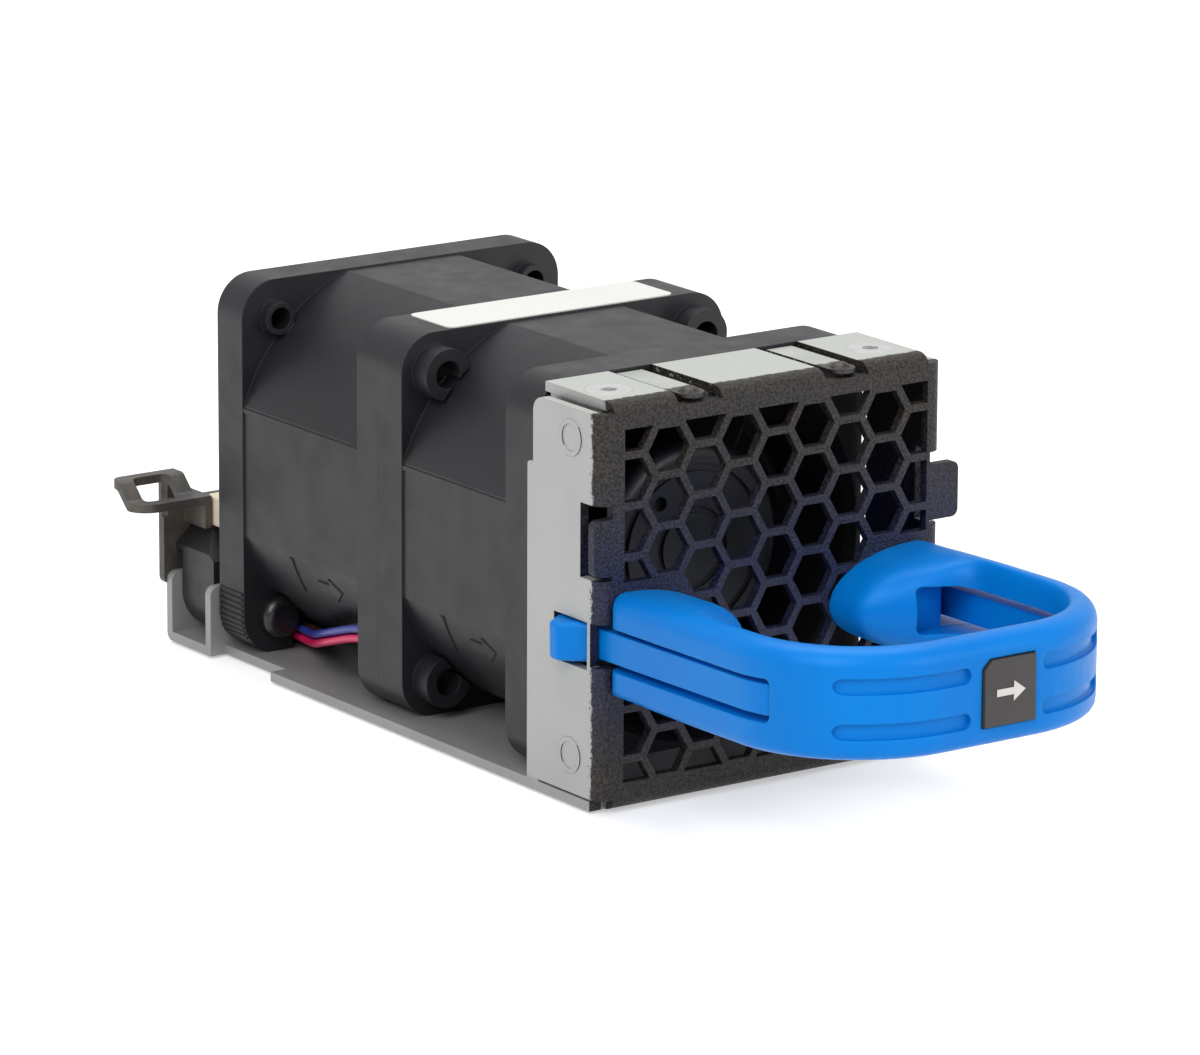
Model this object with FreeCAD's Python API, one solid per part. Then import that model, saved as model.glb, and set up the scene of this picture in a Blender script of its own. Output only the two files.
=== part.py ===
"""Server fan module: two 40 mm fans in line on a folded steel tray with a handle.

Millimetres, +Z up.  The module slides into its bay along +Y, so the faceplate is
at -Y and the connector at +Y.  The origin lies on the underside of the tray, on
the centre line, below the plane in which the two fans meet.
"""
import os
import FreeCAD
import Part
from math import cos, radians, sin, sqrt, tan

V = FreeCAD.Vector
X_AXIS = V(1, 0, 0)
Y_AXIS = V(0, 1, 0)
Z_AXIS = V(0, 0, 1)

# ---------------------------------------------------------------- fans
FAN_SIZE = 40.0            # square flanges of both fans
FRONT_FAN_L = 28.0
REAR_FAN_L = 30.2
FRONT_FLANGES = (5.4, 4.2)  # front and rear flange thickness, front fan
REAR_FLANGES = (3.9, 4.7)   # the same, rear fan
FLANGE_CORNER_R = 4.0
BORE_INSET = 1.0           # bore inside the square of the flange
BARREL_WALL = 2.0
FLAT_INSET = 0.2           # the barrel is cut flat this far inside the flange edge
RIDGE_H = 0.14             # mould line along the flat sides
RIDGE_W = 0.5
INLET_FLARE = 0.5
OVERLAP = 0.3              # joined shapes run this far into each other
HOLE_INSET = 4.0           # corner holes from the flange edges
HOLE_R = 2.15
COLLAR_R = 2.7             # open collars round the corner holes
COLLAR_BORE = 1.45
COLLAR_L = 2.5
SOCKET_R = 1.75            # small collars of the rear flange, closed behind
SOCKET_BORE = 1.2
SOCKET_L = 1.3
SOCKET_FLOOR = 1.0
PEG_L = 3.0                # hollow pegs that key the rear fan to the front one
PEG_WALL = 0.7
WALL_END = 1.2             # wall left at the closed end of the wire hole
RIVET_HEAD_R = 2.3
RIVET_HEAD_H = 1.9
FIT_GAP = 0.05             # clearance of parts that push together
LABEL_HALF_W = 14.0
LABEL_T = 0.12
LABEL_INSET = 0.3
LABEL_CORNER = 0.9
RIBS = 9                   # finger ribs on the lower corner of the rear flange
RIB_R = 0.2
RIB_PITCH = 0.6
RIB_TOP = 13.4             # first rib below the fan axis
MARK_RAISE = 0.15          # moulded rotation and flow marks on the barrels
MARK_DROP = 9.8
ARROW_START = 4.0          # flow arrow in front of the tick
ARROW_SHAFT = 2.4
ARROW_HEAD = 1.8
ARROW_HALF_W = (0.6, 1.3)  # shaft and head
TICK_UP = 2.2
TICK_DOWN = 1.6
TICK_W = 0.6
FRONT_MARK_Y = -10.8
REAR_MARK_Y = 17.0

# ---------------------------------------------------------------- motors
HUB_R = 11.0
HUB_WALL = 1.1
HUB_SETBACK = 1.5          # hub front face behind the inlet
HUB_NOSE_R = 1.6
HUB_RING_R = 8.6           # ring groove in the hub face
HUB_RING_W = 0.7
HUB_RING_DEPTH = 0.45
HUB_FACE_T = 1.6
BOSS_WALL = 1.6            # boss round the shaft
BOSS_L = 2.0
BALANCE_ANGLE = 232        # balance hole
BALANCE_R = 0.75
BALANCE_IN = 2.2           # its centre inside the ring groove
BALANCE_DEPTH = 1.1
CUP_L = 5.5                # motor base cup at the outlet
CUP_FLOOR = 1.2
HUB_CUP_GAP = 0.7
TIP_GAP = 0.4
TUBE_WALL = 0.65
BEARING_R = 4.0
BEARING_W = 4.0
SHAFT_R = 1.5
SHAFT_GAP = 0.03           # running clearance of the shaft in its bearings
MAGNET_T = 1.2
MAGNET_L = 10.0
AIR_GAP = 0.35
STATOR_L = 6.0
STATOR_SINK = 0.6          # stator reaches into the motor base cup
SMALL_GAP = 0.3            # room between parts inside the motor
POLES = 4
YOKE_T = 0.9
SHOE_T = 0.7
NECK_HALF_W = 0.8
POLE_GAP = 1.6
COIL_T = 0.9
COIL_HALF_W = 1.9
PCB_T = 0.8
FRONT_BLADES = 5
REAR_BLADES = 4
BLADE_PITCH = (52, 33)     # blade angle from the plane of rotation, root and tip
BLADE_CHORD = (15.5, 16.5)
BLADE_T = (1.5, 0.9)
BLADE_CAMBER = (1.5, 1.1)
BLADE_EDGE = 0.18          # half thickness of both edges
BLADE_ROOT_IN = 2.8        # blades start this far inside the hub
VANES = 7
VANE_LEAN = 1.6
VANE_T = 0.9

# ---------------------------------------------------------------- tray and faceplate
SHEET_T = 1.0
BEND_R = 1.5               # outer bend radius
PLENUM = 12.0              # faceplate front to the first fan
TOP_INSET = 1.9            # ends of the top flange inside the side flanges
SIDE_GAP = 0.75            # side flanges end this far before the front fan
SIDE_TOP_DROP = 1.0        # side flanges end this far below the top
SLOT_INNER = 6.3           # open slots of the top flange, inner and outer X
SLOT_OUTER = 11.6
SLOT_FACE_DEPTH = 1.1      # how far those slots reach down the face
HEX_PITCH = 5.09
HEX_WEB = 0.8
HEX_COLUMNS = 9
HEX_PHASE = 14.69          # centre of a hole in an odd column above the fan axis
HEX_X = 0.5                # middle column of the perforated field
HEX_HALF_W = 18.5          # perforated field, half width about that column
HEX_LEAST = 2.0            # smallest cut hole that is still punched, mm2
HEX_UP = 17.3
HEX_DOWN = 18.2
PATCH_X = 11.0             # unperforated patches behind the handle feet
PATCH_UP = 2.0
PATCH_DOWN = 8.6
STOP_OUT = {-1: 0.6, 1: 2.0}  # stop tabs beside the face, left and right
STOP_LOW = 2.9
STOP_HIGH = 8.6
STOP_CORNER = 0.8
NOTCH_DEPTH = 3.2          # notches of the side flanges behind the stop tabs
NOTCH_UP = 1.3
NOTCH_DOWN = 0.5
DIMPLE_R = 1.85            # pressed rings on the side flanges
DIMPLE_W = 0.5
DIMPLE_H = 0.1
DIMPLE_Y = 4.9
STEP_RISE = 12.3           # left flange reaches further back below this height
STEP_BACK = 0.95
STEP_ROUND = 0.4
SIDE_CORNER = 1.5          # upper rear corners of the side flanges
SIDE_FLOOR_GAP = 0.2       # side flanges stand free of the floor
FLOOR_SHORT = 11.3         # full width floor ends this far before the rear of the fans
NOTCH_W = 4.3              # ears bent up out of the floor corners
EAR_GAP = 0.3              # ear behind the rear fan
EAR_H = 7.5
EAR_ROUND = 1.0
BRACKET_BEND = 0.9
BRACKET_DEPTH = 8.6        # ear front to far wall rear

# ---------------------------------------------------------------- handle and latches
HANDLE_DROP = 3.5          # handle mid plane below the fan axis
HANDLE_H = 10.8
HANDLE_T = 3.2
HANDLE_INSET = 1.1         # arms inside the side flanges
HANDLE_LEAN = 0.9          # the handle leans down towards the face, degrees
HANDLE_REACH = 35.3
HANDLE_CORNER_R = 14.3
RIM_OUTER_R = 2.0
RIM_INNER_R = 0.8
RIM_BOTTOM_R = 1.1
FOOT_TIP_X = 7.0
FOOT_HALF_H = 5.15
FOOT_REACH = 23.0          # the foot narrows into the arm over this length
FOOT_FLARE = 3.4           # extra width on the face
FLARE_L = 5.0
FOOT_TAPER = 0.7           # the foot is this much lower where it meets the arm
TRIM = 0.4                 # spare length that is cut off flush with the face
WINDOW_H = 5.3             # opening of each arm, above and below the latch
WINDOW_SETBACK = 10.0      # its front end behind the front of the handle
WINDOW_REAR = 8.7
GROOVE_W = 1.6
GROOVE_DEPTH = 0.5
GROOVE_UP = 2.1            # groove centres from the handle mid plane
GROOVE_DOWN = 2.3
GROOVE_REACH = 17.2        # outer ends of the grooves
BADGE_X = 1.6
BADGE_W = 6.1
BADGE_H = 6.5
BADGE_DROP = 0.15          # tile centre below the handle mid plane
BADGE_T = 0.6
BADGE_RAISE = 0.35         # tile stands out of the grip
BADGE_MARGIN = 1.4         # grooves stop this far from the tile
BADGE_CHAMFER = 0.9
BADGE_GAP = 0.15
WINDOW_CORNER = 0.7
SCREW_GAP = 0.2
CROSS_HALF_L = 1.1         # cross recess of the handle screws
CROSS_HALF_W = 0.2
LATCH_T = 2.0
LATCH_H = 3.0
LATCH_DROP = 0.1           # latch centre below the handle mid plane
HINGE_SETBACK = 11.0       # hinge line behind the front of the handle
LATCH_GAP = 0.06
NOSE_OUT = 1.7             # nose beyond the side flange
NOSE_FRONT = 2.3           # nose from the face
NOSE_REAR = 7.3
NOSE_H = 4.0
NOSE_RAMP = 2.2            # sloping front of the nose
NOSE_TIP = 1.5             # flat tip
NOSE_ROUND = 0.55
LATCH_SKIN = 0.1           # latch strip under the outside of the arm
LATCH_WINDOW = (2.0, 7.6)  # window of the side flange, from the face
LATCH_WINDOW_H = 4.4
LATCH_WINDOW_LOW = 0.4     # the side window is cut this much lower
FACE_SLOT_W = 5.1          # slot of the face for the latch
HANDLE_SCREW_X = 13.4
SCREW_R = 1.0
SCREW_HEAD_R = 2.0
SCREW_HEAD_H = 1.4
SCREW_L = 5.5

# ---------------------------------------------------------------- grounding springs
SPRING_X = 9.2
SPRING_W = 3.1
SPRING_T = 0.4
SPRING_DROP = 0.3          # spring surface below the top of the flange
SPRING_FRONT = 1.7         # centre of the rounded end from the face
DOME_R = 1.1
DOME_H = 0.55
TOP_SCREW_INSET = 3.1      # screws from the ends of the top flange
TOP_SCREW_Y = 5.6
TOP_SCREW_HEAD_R = 2.4
TOP_SCREW_R = 1.25
TOP_SCREW_CONE = 0.9       # depth of the countersink
TOP_SCREW_L = 3.4
TOP_SOCKET = 0.9           # hexagon socket, corner radius
TOP_SOCKET_DEPTH = 0.8
STRAP_T = 1.2              # strap under the top flange that carries the springs
STRAP_FRONT = 3.0          # strap in front of the screws
STRAP_CORNER = 1.0
SPRING_ROOT = 2.0

# ---------------------------------------------------------------- connector end
BRACKET_X1 = 4.0           # right end of the connector bracket
HOUSING_INSET = 1.2        # housing from the outside of the tray
HOUSING_L = 23.2
HOUSING_LOW_H = 7.0
HOUSING_TOP = 12.6
HOUSING_LEDGE = 9.8        # front of the roof, where its slope starts
HOUSING_GAP = 0.2
HOUSING_ROUND = 4.5
ROOF_RIDGE = 3.4           # level top of the roof in front of the guide plate
HIP = 3.6                  # slope at the left end of the housing's roof
POCKET_DEPTH = 2.4         # recesses in the front of the housing, left of the nose
POCKET_RIM = 0.9
POCKET_LEVELS = ((8.1, 9.6), (6.0, 7.4))
NOSE_INSET = 5.0           # mating nose from the outside of the tray
NOSE_W = 16.0
MATE_L = 4.0               # nose behind the guide plate
MATE_CLEAR = 0.4
MATE_ROUND = 0.5
CONTACTS = 6
CONTACT_SLOT = (1.0, 2.3)  # width and height
CONTACT_PIN = (0.5, 0.7)
CONTACT_L = 3.2
CONTACT_Z = 9.75
GUIDE_T = 1.0
GUIDE_BOTTOM = 6.0
GUIDE_OUT = 0.3            # guide plate beyond the tray
GUIDE_CORNER = 0.8
LOOP_OUT = 5.9             # left end of the loop beyond the tray
LOOP_L = 8.0
LOOP_T = 0.9
LOOP_NEAR = 4.1            # ends of the loop in front of and behind the guide plate
LOOP_FAR = 1.9
LOOP_RAMP = 2.0            # each of near limb and ramp
LOOP_BEND = 0.9
LOOP_CORNER = 1.5
LOOP_NEAR_CORNER = 2.4
LOOP_RIM = 1.8             # material round the hole of the loop
LOOP_LOW = 16.1            # top of the near limb
LOOP_RISE = 1.9
SHELF_L = 1.0              # near limb beyond the loop
SHELF_T = 0.8
PLUG_INSET = 2.4           # plug of the front fan's wires, from the side of the rear fan
PLUG_L = 8.6
PLUG_W = 5.7
PLUG_H = 3.4
PLUG_ROUND = 0.4
WIRE_R = 0.42
WIRE_GAP = 1.0             # spacing of the wires in their 2 x 2 bundle
BUNDLE_CLEAR = 0.3         # room round the bundle in its holes
WIRE_START = -2.4
WIRE_IN = 2.5              # wires end this far behind the front of the ear
CHANNEL_CLEAR = 1.33       # middle of the bundle from the barrel where it leaves the front fan
CHANNEL_ANGLE = 35         # its angle below the axis, seen from the front
NOTCH_CLEAR = 1.16         # the same where it passes the rear flange
NOTCH_ANGLE = 55.7

# ---------------------------------------------------------------- derived places
BORE_R = FAN_SIZE / 2 - BORE_INSET
BARREL_R = BORE_R + BARREL_WALL
BARREL_FLAT = FAN_SIZE / 2 - FLAT_INSET
HOLE_PITCH = FAN_SIZE - 2 * HOLE_INSET
AXIS_Z = SHEET_T + FAN_SIZE / 2
TOP_Z = SHEET_T + FAN_SIZE
HALF_W = FAN_SIZE / 2 + SHEET_T
TOP_HALF_W = HALF_W - TOP_INSET
TOP_SCREW_X = TOP_HALF_W - TOP_SCREW_INSET
FRONT_Y = -FRONT_FAN_L
FACE_Y = FRONT_Y - PLENUM
FACE_IN_Y = FACE_Y + SHEET_T
REAR_Y = REAR_FAN_L
FLOOR_END = REAR_Y - FLOOR_SHORT
EAR_Y = REAR_Y + EAR_GAP
WIRE_END = EAR_Y + WIRE_IN
HANDLE_HALF_W = HALF_W - HANDLE_INSET
HANDLE_Z = AXIS_Z - HANDLE_DROP
LATCH_Z = HANDLE_Z - LATCH_DROP
FACE_DROP = HANDLE_REACH * sin(radians(HANDLE_LEAN))
HANDLE_FRONT_Y = FACE_Y - HANDLE_REACH
CORNER_X = HANDLE_HALF_W - HANDLE_CORNER_R
CORNER_Y = HANDLE_FRONT_Y + HANDLE_CORNER_R
HINGE_Y = HANDLE_FRONT_Y + HINGE_SETBACK
TUBE_R = BEARING_R + TUBE_WALL
MAGNET_R = HUB_R - HUB_WALL
FAR_WALL_Y = EAR_Y + BRACKET_DEPTH
BUNDLE_R = WIRE_GAP * sqrt(0.5) + WIRE_R + BUNDLE_CLEAR
HOUSING_Y0 = EAR_Y + SHEET_T + HOUSING_GAP
HOUSING_Y1 = FAR_WALL_Y - SHEET_T - HOUSING_GAP
GUIDE_Y = FAR_WALL_Y
HOUSING_X0 = -HALF_W + HOUSING_INSET
HOUSING_X1 = HOUSING_X0 + HOUSING_L
NOSE_X0 = -HALF_W + NOSE_INSET
LOOP_X0 = -HALF_W - LOOP_OUT
LOOP_X1 = LOOP_X0 + LOOP_L

PARTS = {}


# ================================================================ helpers
def box(x0, x1, y0, y1, z0, z1):
    """Block between two corners."""
    return Part.makeBox(x1 - x0, y1 - y0, z1 - z0, V(x0, y0, z0))


def rod(radius, y0, y1, x=0.0, z=None):
    """Cylinder along Y, on the fan axis unless a place is given."""
    height = AXIS_Z if z is None else z
    return Part.makeCylinder(radius, y1 - y0, V(x, y0, height), Y_AXIS)


def post(radius, x, y, z0, z1):
    """Cylinder along Z."""
    return Part.makeCylinder(radius, z1 - z0, V(x, y, z0), Z_AXIS)


def ring(outer, inner, y0, y1, x=0.0, z=None):
    """Tube along Y."""
    return rod(outer, y0, y1, x, z).cut(rod(inner, y0, y1, x, z))


def fuse(shapes):
    """Union of a list of solids with merged faces."""
    shapes = list(shapes)
    if len(shapes) == 1:
        return shapes[0]
    return shapes[0].multiFuse(shapes[1:]).removeSplitter()


def cut(shape, tools):
    """Subtract a list of solids."""
    return shape.cut(list(tools))


def mirror_x(shape):
    """The same piece on the other side of the centre line."""
    return shape.mirror(V(0, 0, 0), X_AXIS)


def polygon(points):
    """Closed straight-sided wire."""
    return Part.makePolygon(list(points) + [points[0]])


def prism(points, along):
    """Extrude a closed outline."""
    return Part.Face(polygon(points)).extrude(along)


def round_edges(shape, radius, choose):
    """Fillet the edges that the test picks."""
    edges = [e for e in shape.Edges if choose(e)]
    if not edges:
        return shape
    return shape.makeFillet(radius, edges)


def parallel(edge, axis):
    """True for a straight edge along the axis."""
    if not isinstance(edge.Curve, (Part.Line, Part.LineSegment)):
        return False
    return abs(edge.tangentAt(edge.FirstParameter).dot(axis)) > 0.999


def corner_places(pitch=HOLE_PITCH):
    """The four corner holes of a fan as X and Z."""
    half = pitch / 2
    return [(sx * half, AXIS_Z + sz * half) for sx in (-1, 1) for sz in (-1, 1)]


def rivet_places():
    """The two lower corner holes of the rear flange."""
    return [(x, z) for x, z in corner_places() if z < AXIS_Z]


def spin(shape, angle):
    """A copy turned about the fan axis."""
    turned = shape.copy()
    turned.rotate(V(0, 0, AXIS_Z), Y_AXIS, angle)
    return turned


# ================================================================ fans
def flange(y0, thickness):
    """Square plate with rounded corners."""
    half = FAN_SIZE / 2
    plate = box(-half, half, y0, y0 + thickness, AXIS_Z - half, AXIS_Z + half)
    return round_edges(plate, FLANGE_CORNER_R, lambda e: parallel(e, Y_AXIS))


def stator_vane(y0, y1):
    """One slanted vane from the motor cup to the barrel wall."""
    lean = VANE_LEAN
    half_t = VANE_T / 2
    inner = HUB_R - OVERLAP
    outer = BORE_R + OVERLAP
    outline = [V(inner, y0, AXIS_Z - lean - half_t), V(inner, y0, AXIS_Z - lean + half_t),
               V(inner, y1, AXIS_Z + lean + half_t), V(inner, y1, AXIS_Z + lean - half_t)]
    return prism(outline, V(outer - inner, 0, 0))


def fan_frame(y0, y1, flanges, mirrored):
    """Frame with barrel, vanes, motor cup and bearing tube."""
    t_front, t_rear = flanges
    barrel = rod(BARREL_R, y0, y1)
    flats = box(-BARREL_FLAT, BARREL_FLAT, y0, y1, AXIS_Z - BARREL_FLAT, AXIS_Z + BARREL_FLAT)
    frame = fuse([flange(y0, t_front), flange(y1 - t_rear, t_rear), barrel.common(flats)])
    flare = Part.makeCone(BORE_R + INLET_FLARE, BORE_R, 3 * INLET_FLARE, V(0, y0, AXIS_Z), Y_AXIS)
    holes = [rod(HOLE_R, y0, y0 + t_front, x, z) for x, z in corner_places()]
    frame = cut(frame, [rod(BORE_R, y0, y1), flare] + holes)
    vane = stator_vane(y1 - CUP_L + OVERLAP, y1 - OVERLAP)
    if mirrored:
        vane = vane.mirror(V(0, 0, AXIS_Z), Z_AXIS)
    vanes = [spin(vane, 360.0 * (k + 0.5) / VANES) for k in range(VANES)]
    cup = rod(HUB_R, y1 - CUP_L, y1).cut(rod(MAGNET_R, y1 - CUP_L, y1 - CUP_FLOOR))
    tube_y0 = y1 - CUP_L - STATOR_L - BEARING_W
    tube = rod(TUBE_R, tube_y0, y1 - CUP_FLOOR / 2)
    bore = rod(BEARING_R, tube_y0, y1 - CUP_FLOOR)
    return fuse([frame, cup, tube] + vanes).cut(bore)


def front_frame():
    """Front fan frame with open collars on its rear flange."""
    frame = fan_frame(FRONT_Y, 0.0, FRONT_FLANGES, False)
    seat = -FRONT_FLANGES[1]
    open_side = rod(BARREL_R + OVERLAP, seat - COLLAR_L, seat)
    collars = [rod(COLLAR_R, seat - COLLAR_L, seat, x, z).cut(open_side) for x, z in corner_places()]
    bores = [rod(COLLAR_BORE, seat - COLLAR_L, 0, x, z) for x, z in corner_places()]
    bores += [rod(HOLE_R, -PEG_L - FIT_GAP, 0, x, z) for x, z in corner_places()]
    extras = side_ridges(FRONT_Y + 1, -1) + barrel_marks(FRONT_MARK_Y)
    return cut(fuse([frame] + collars + extras), bores)


def side_ridges(y0, y1):
    """Mould line along the upper edge of each flat side."""
    z = AXIS_Z + sqrt(BARREL_R ** 2 - BARREL_FLAT ** 2) - RIDGE_W
    right = box(BARREL_FLAT - RIDGE_W, BARREL_FLAT + RIDGE_H, y0, y1, z - RIDGE_W / 2, z + RIDGE_W / 2)
    return [right, mirror_x(right)]


def barrel_marks(y):
    """Raised tick and flow arrow on the lower left of a barrel."""
    z = AXIS_Z - MARK_DROP
    tick = [(TICK_W / 2, TICK_UP), (-TICK_W / 2, TICK_UP), (0, -TICK_DOWN)]
    neck = ARROW_START + ARROW_SHAFT
    slim, wide = ARROW_HALF_W
    arrow = [(-ARROW_START, slim), (-neck, slim), (-neck, wide), (-neck - ARROW_HEAD, 0.0),
             (-neck, -wide), (-neck, -slim), (-ARROW_START, -slim)]
    skin = ring(BARREL_R + MARK_RAISE, BARREL_R - BARREL_WALL / 2, y - neck - 2 * ARROW_HEAD, y + TICK_W)
    marks = []
    for outline in (tick, arrow):
        points = [V(-BARREL_R - 1, y + along, z + up) for along, up in outline]
        marks.append(prism(points, V(BARREL_R / 2, 0, 0)).common(skin))
    return marks


def finger_ribs():
    """Fine ribs along Y round the lower left corner of the rear flange."""
    half = FAN_SIZE / 2
    straight = half - FLANGE_CORNER_R - RIB_TOP
    ribs = []
    for k in range(RIBS):
        down = k * RIB_PITCH
        turn = max(down - straight, 0) / FLANGE_CORNER_R
        x = -half + FLANGE_CORNER_R * (1 - cos(turn))
        z = AXIS_Z - RIB_TOP - min(down, straight) - FLANGE_CORNER_R * sin(turn)
        ribs.append(rod(RIB_R, REAR_Y - REAR_FLANGES[1] + RIB_R, REAR_Y - RIB_R, x, z))
    return ribs


def rear_frame():
    """Rear fan frame with the pegs that enter the front fan."""
    frame = fan_frame(0.0, REAR_Y, REAR_FLANGES, True)
    seat = REAR_Y - REAR_FLANGES[1]
    radius = HOLE_R - FIT_GAP
    pegs = [rod(radius, -PEG_L, REAR_FLANGES[0], x, z) for x, z in corner_places()]
    fill = [rod(HOLE_R, 0.0, REAR_FLANGES[0], x, z) for x, z in corner_places()]
    bores = [rod(radius - PEG_WALL, -PEG_L, REAR_FLANGES[0], x, z) for x, z in corner_places()]
    bores += [rod(HOLE_R, seat, REAR_Y, x, z) for x, z in rivet_places()]
    bores += [rod(RIVET_HEAD_R + 3 * FIT_GAP, seat - RIVET_HEAD_H - 3 * FIT_GAP, seat, x, z)
              for x, z in rivet_places()]
    upper = [(x, z) for x, z in corner_places() if z > AXIS_Z]
    sockets = [rod(SOCKET_R, seat - SOCKET_L, seat, x, z) for x, z in upper]
    bores += [rod(SOCKET_BORE, seat - SOCKET_L, REAR_Y - SOCKET_FLOOR, x, z) for x, z in upper]
    extras = side_ridges(1, seat) + barrel_marks(REAR_MARK_Y) + finger_ribs()
    return cut(fuse([frame] + fill + pegs + sockets + extras), bores)


def blade(y_mid, sign):
    """One twisted blade, thicker at its root."""
    root_r = HUB_R - BLADE_ROOT_IN
    wires = []
    for share in (0.0, 0.5, 1.0):
        radius = root_r + share * (BORE_R + OVERLAP - root_r)
        pitch, chord, thick, camber = [root + share * (tip - root) for root, tip in
                                       (BLADE_PITCH, BLADE_CHORD, BLADE_T, BLADE_CAMBER)]
        c, s = cos(radians(pitch)), sin(radians(pitch))

        def place(along, off):
            return V(radius, y_mid + along * s + off * c, AXIS_Z + sign * (along * c - off * s))

        half = chord / 2
        upper = Part.Arc(place(-half, BLADE_EDGE), place(0, camber + thick / 2), place(half, BLADE_EDGE))
        lower = Part.Arc(place(half, -BLADE_EDGE), place(0, camber - thick / 2), place(-half, -BLADE_EDGE))
        tip = Part.LineSegment(place(half, BLADE_EDGE), place(half, -BLADE_EDGE))
        tail = Part.LineSegment(place(-half, -BLADE_EDGE), place(-half, BLADE_EDGE))
        wires.append(Part.Wire([e.toShape() for e in (upper, tip, lower, tail)]))
    return Part.makeLoft(wires, True, False)


def rotor(y0, y1, blades, sign):
    """Hub with its blades, open at the rear."""
    front = y0 + HUB_SETBACK
    rear = y1 - CUP_L - HUB_CUP_GAP
    hub = rod(HUB_R, front, rear)
    hub = round_edges(hub, HUB_NOSE_R, lambda e: e.BoundBox.YMax < front + 0.01)
    shell = rod(BORE_R - TIP_GAP, front, rear).cut(rod(HUB_R - HUB_WALL / 3, front, rear))
    one = blade((front + rear) / 2 - OVERLAP, sign).common(shell)
    body = fuse([hub] + [spin(one, 360.0 * k / blades) for k in range(blades)])
    inside = front + HUB_FACE_T
    cavity = rod(MAGNET_R, inside, rear)
    boss = ring(SHAFT_R + BOSS_WALL, SHAFT_R, inside, inside + BOSS_L)
    grooves = [ring(radius, radius - HUB_RING_W, front, front + HUB_RING_DEPTH)
               for radius in (HUB_RING_R, HUB_RING_R / 2)]
    hole = rod(BALANCE_R, front, front + BALANCE_DEPTH, HUB_RING_R - BALANCE_IN, AXIS_Z)
    body = cut(body, [cavity, spin(hole, BALANCE_ANGLE)] + grooves)
    return fuse([body, boss])


def stator(y0):
    """Laminated core with one T-shaped pole per coil."""
    tip_r = MAGNET_R - MAGNET_T - AIR_GAP
    inner = TUBE_R + FIT_GAP
    core = ring(inner + YOKE_T, inner, y0, y0 + STATOR_L)
    shoe = ring(tip_r, tip_r - SHOE_T, y0, y0 + STATOR_L)
    neck = box(inner + YOKE_T / 2, tip_r - SHOE_T / 2, y0, y0 + STATOR_L,
               AXIS_Z - NECK_HALF_W, AXIS_Z + NECK_HALF_W)
    poles = [spin(neck, 360.0 * k / POLES) for k in range(POLES)]
    gap = box(inner + YOKE_T + OVERLAP, tip_r + 1, y0, y0 + STATOR_L,
              AXIS_Z - POLE_GAP / 2, AXIS_Z + POLE_GAP / 2)
    gaps = [spin(gap, 360.0 * (k + 0.5) / POLES) for k in range(POLES)]
    return cut(fuse([core, shoe] + poles), gaps)


def coils(y0):
    """One winding round each pole."""
    tip_r = MAGNET_R - MAGNET_T - AIR_GAP
    turns = []
    for k in range(POLES):
        outer = box(0, tip_r, y0 - COIL_T, y0 + STATOR_L + COIL_T, AXIS_Z - COIL_HALF_W, AXIS_Z + COIL_HALF_W)
        outer = round_edges(outer, COIL_T * 0.75, lambda e: parallel(e, X_AXIS))
        core = box(0, tip_r, y0 - FIT_GAP, y0 + STATOR_L + FIT_GAP,
                   AXIS_Z - NECK_HALF_W - FIT_GAP, AXIS_Z + NECK_HALF_W + FIT_GAP)
        slot = ring(tip_r - SHOE_T - FIT_GAP, TUBE_R + YOKE_T + 2 * FIT_GAP,
                    y0 - COIL_T, y0 + STATOR_L + COIL_T)
        turns.append(spin(outer.cut(core).common(slot), 360.0 * k / POLES))
    return Part.Compound(turns)


def motor(name, y0, y1):
    """What sits inside one hub: magnet, shaft, bearings, stator, coils and board."""
    rear = y1 - CUP_L - HUB_CUP_GAP
    floor = y1 - CUP_FLOOR
    stator_y0 = y1 - CUP_L - STATOR_L + STATOR_SINK
    magnet_mid = stator_y0 + STATOR_L / 2
    magnet_y1 = min(magnet_mid + MAGNET_L / 2, rear - SMALL_GAP)
    PARTS[name + "_magnet"] = ring(MAGNET_R, MAGNET_R - MAGNET_T, magnet_y1 - MAGNET_L, magnet_y1)
    PARTS[name + "_shaft"] = rod(SHAFT_R, y0 + HUB_SETBACK + HUB_FACE_T, floor - SMALL_GAP)
    bore = SHAFT_R + SHAFT_GAP
    tube_y0 = y1 - CUP_L - STATOR_L - BEARING_W
    seats = (tube_y0 + SMALL_GAP, floor - BEARING_W)
    races = [ring(BEARING_R, bore, y, y + BEARING_W) for y in seats]
    PARTS[name + "_bearings"] = Part.Compound(races)
    PARTS[name + "_stator"] = stator(stator_y0)
    PARTS[name + "_coils"] = coils(stator_y0)
    PARTS[name + "_board"] = ring(MAGNET_R - SMALL_GAP, TUBE_R + FIT_GAP, floor - PCB_T, floor)


def make_fans():
    """Both fans and the label that bridges them."""
    PARTS["front_fan_frame"] = front_frame()
    PARTS["rear_fan_frame"] = rear_frame()
    PARTS["front_rotor"] = rotor(FRONT_Y, 0.0, FRONT_BLADES, 1)
    PARTS["rear_rotor"] = rotor(0.0, REAR_Y, REAR_BLADES, -1)
    motor("front", FRONT_Y, 0.0)
    motor("rear", 0.0, REAR_Y)
    label = box(-LABEL_HALF_W, LABEL_HALF_W, -FRONT_FLANGES[1] + LABEL_INSET, REAR_FLANGES[0] - LABEL_INSET,
                TOP_Z, TOP_Z + LABEL_T)
    PARTS["fan_label"] = round_edges(label, LABEL_CORNER, lambda e: parallel(e, Z_AXIS))


# ================================================================ tray and faceplate
def clip(points, inside, cross):
    """Keep the part of a convex outline on one side of a line."""
    kept = []
    for a, b in zip(points, points[1:] + points[:1]):
        if inside(a):
            kept.append(a)
        if inside(a) != inside(b):
            kept.append(cross(a, b))
    return kept


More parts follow.
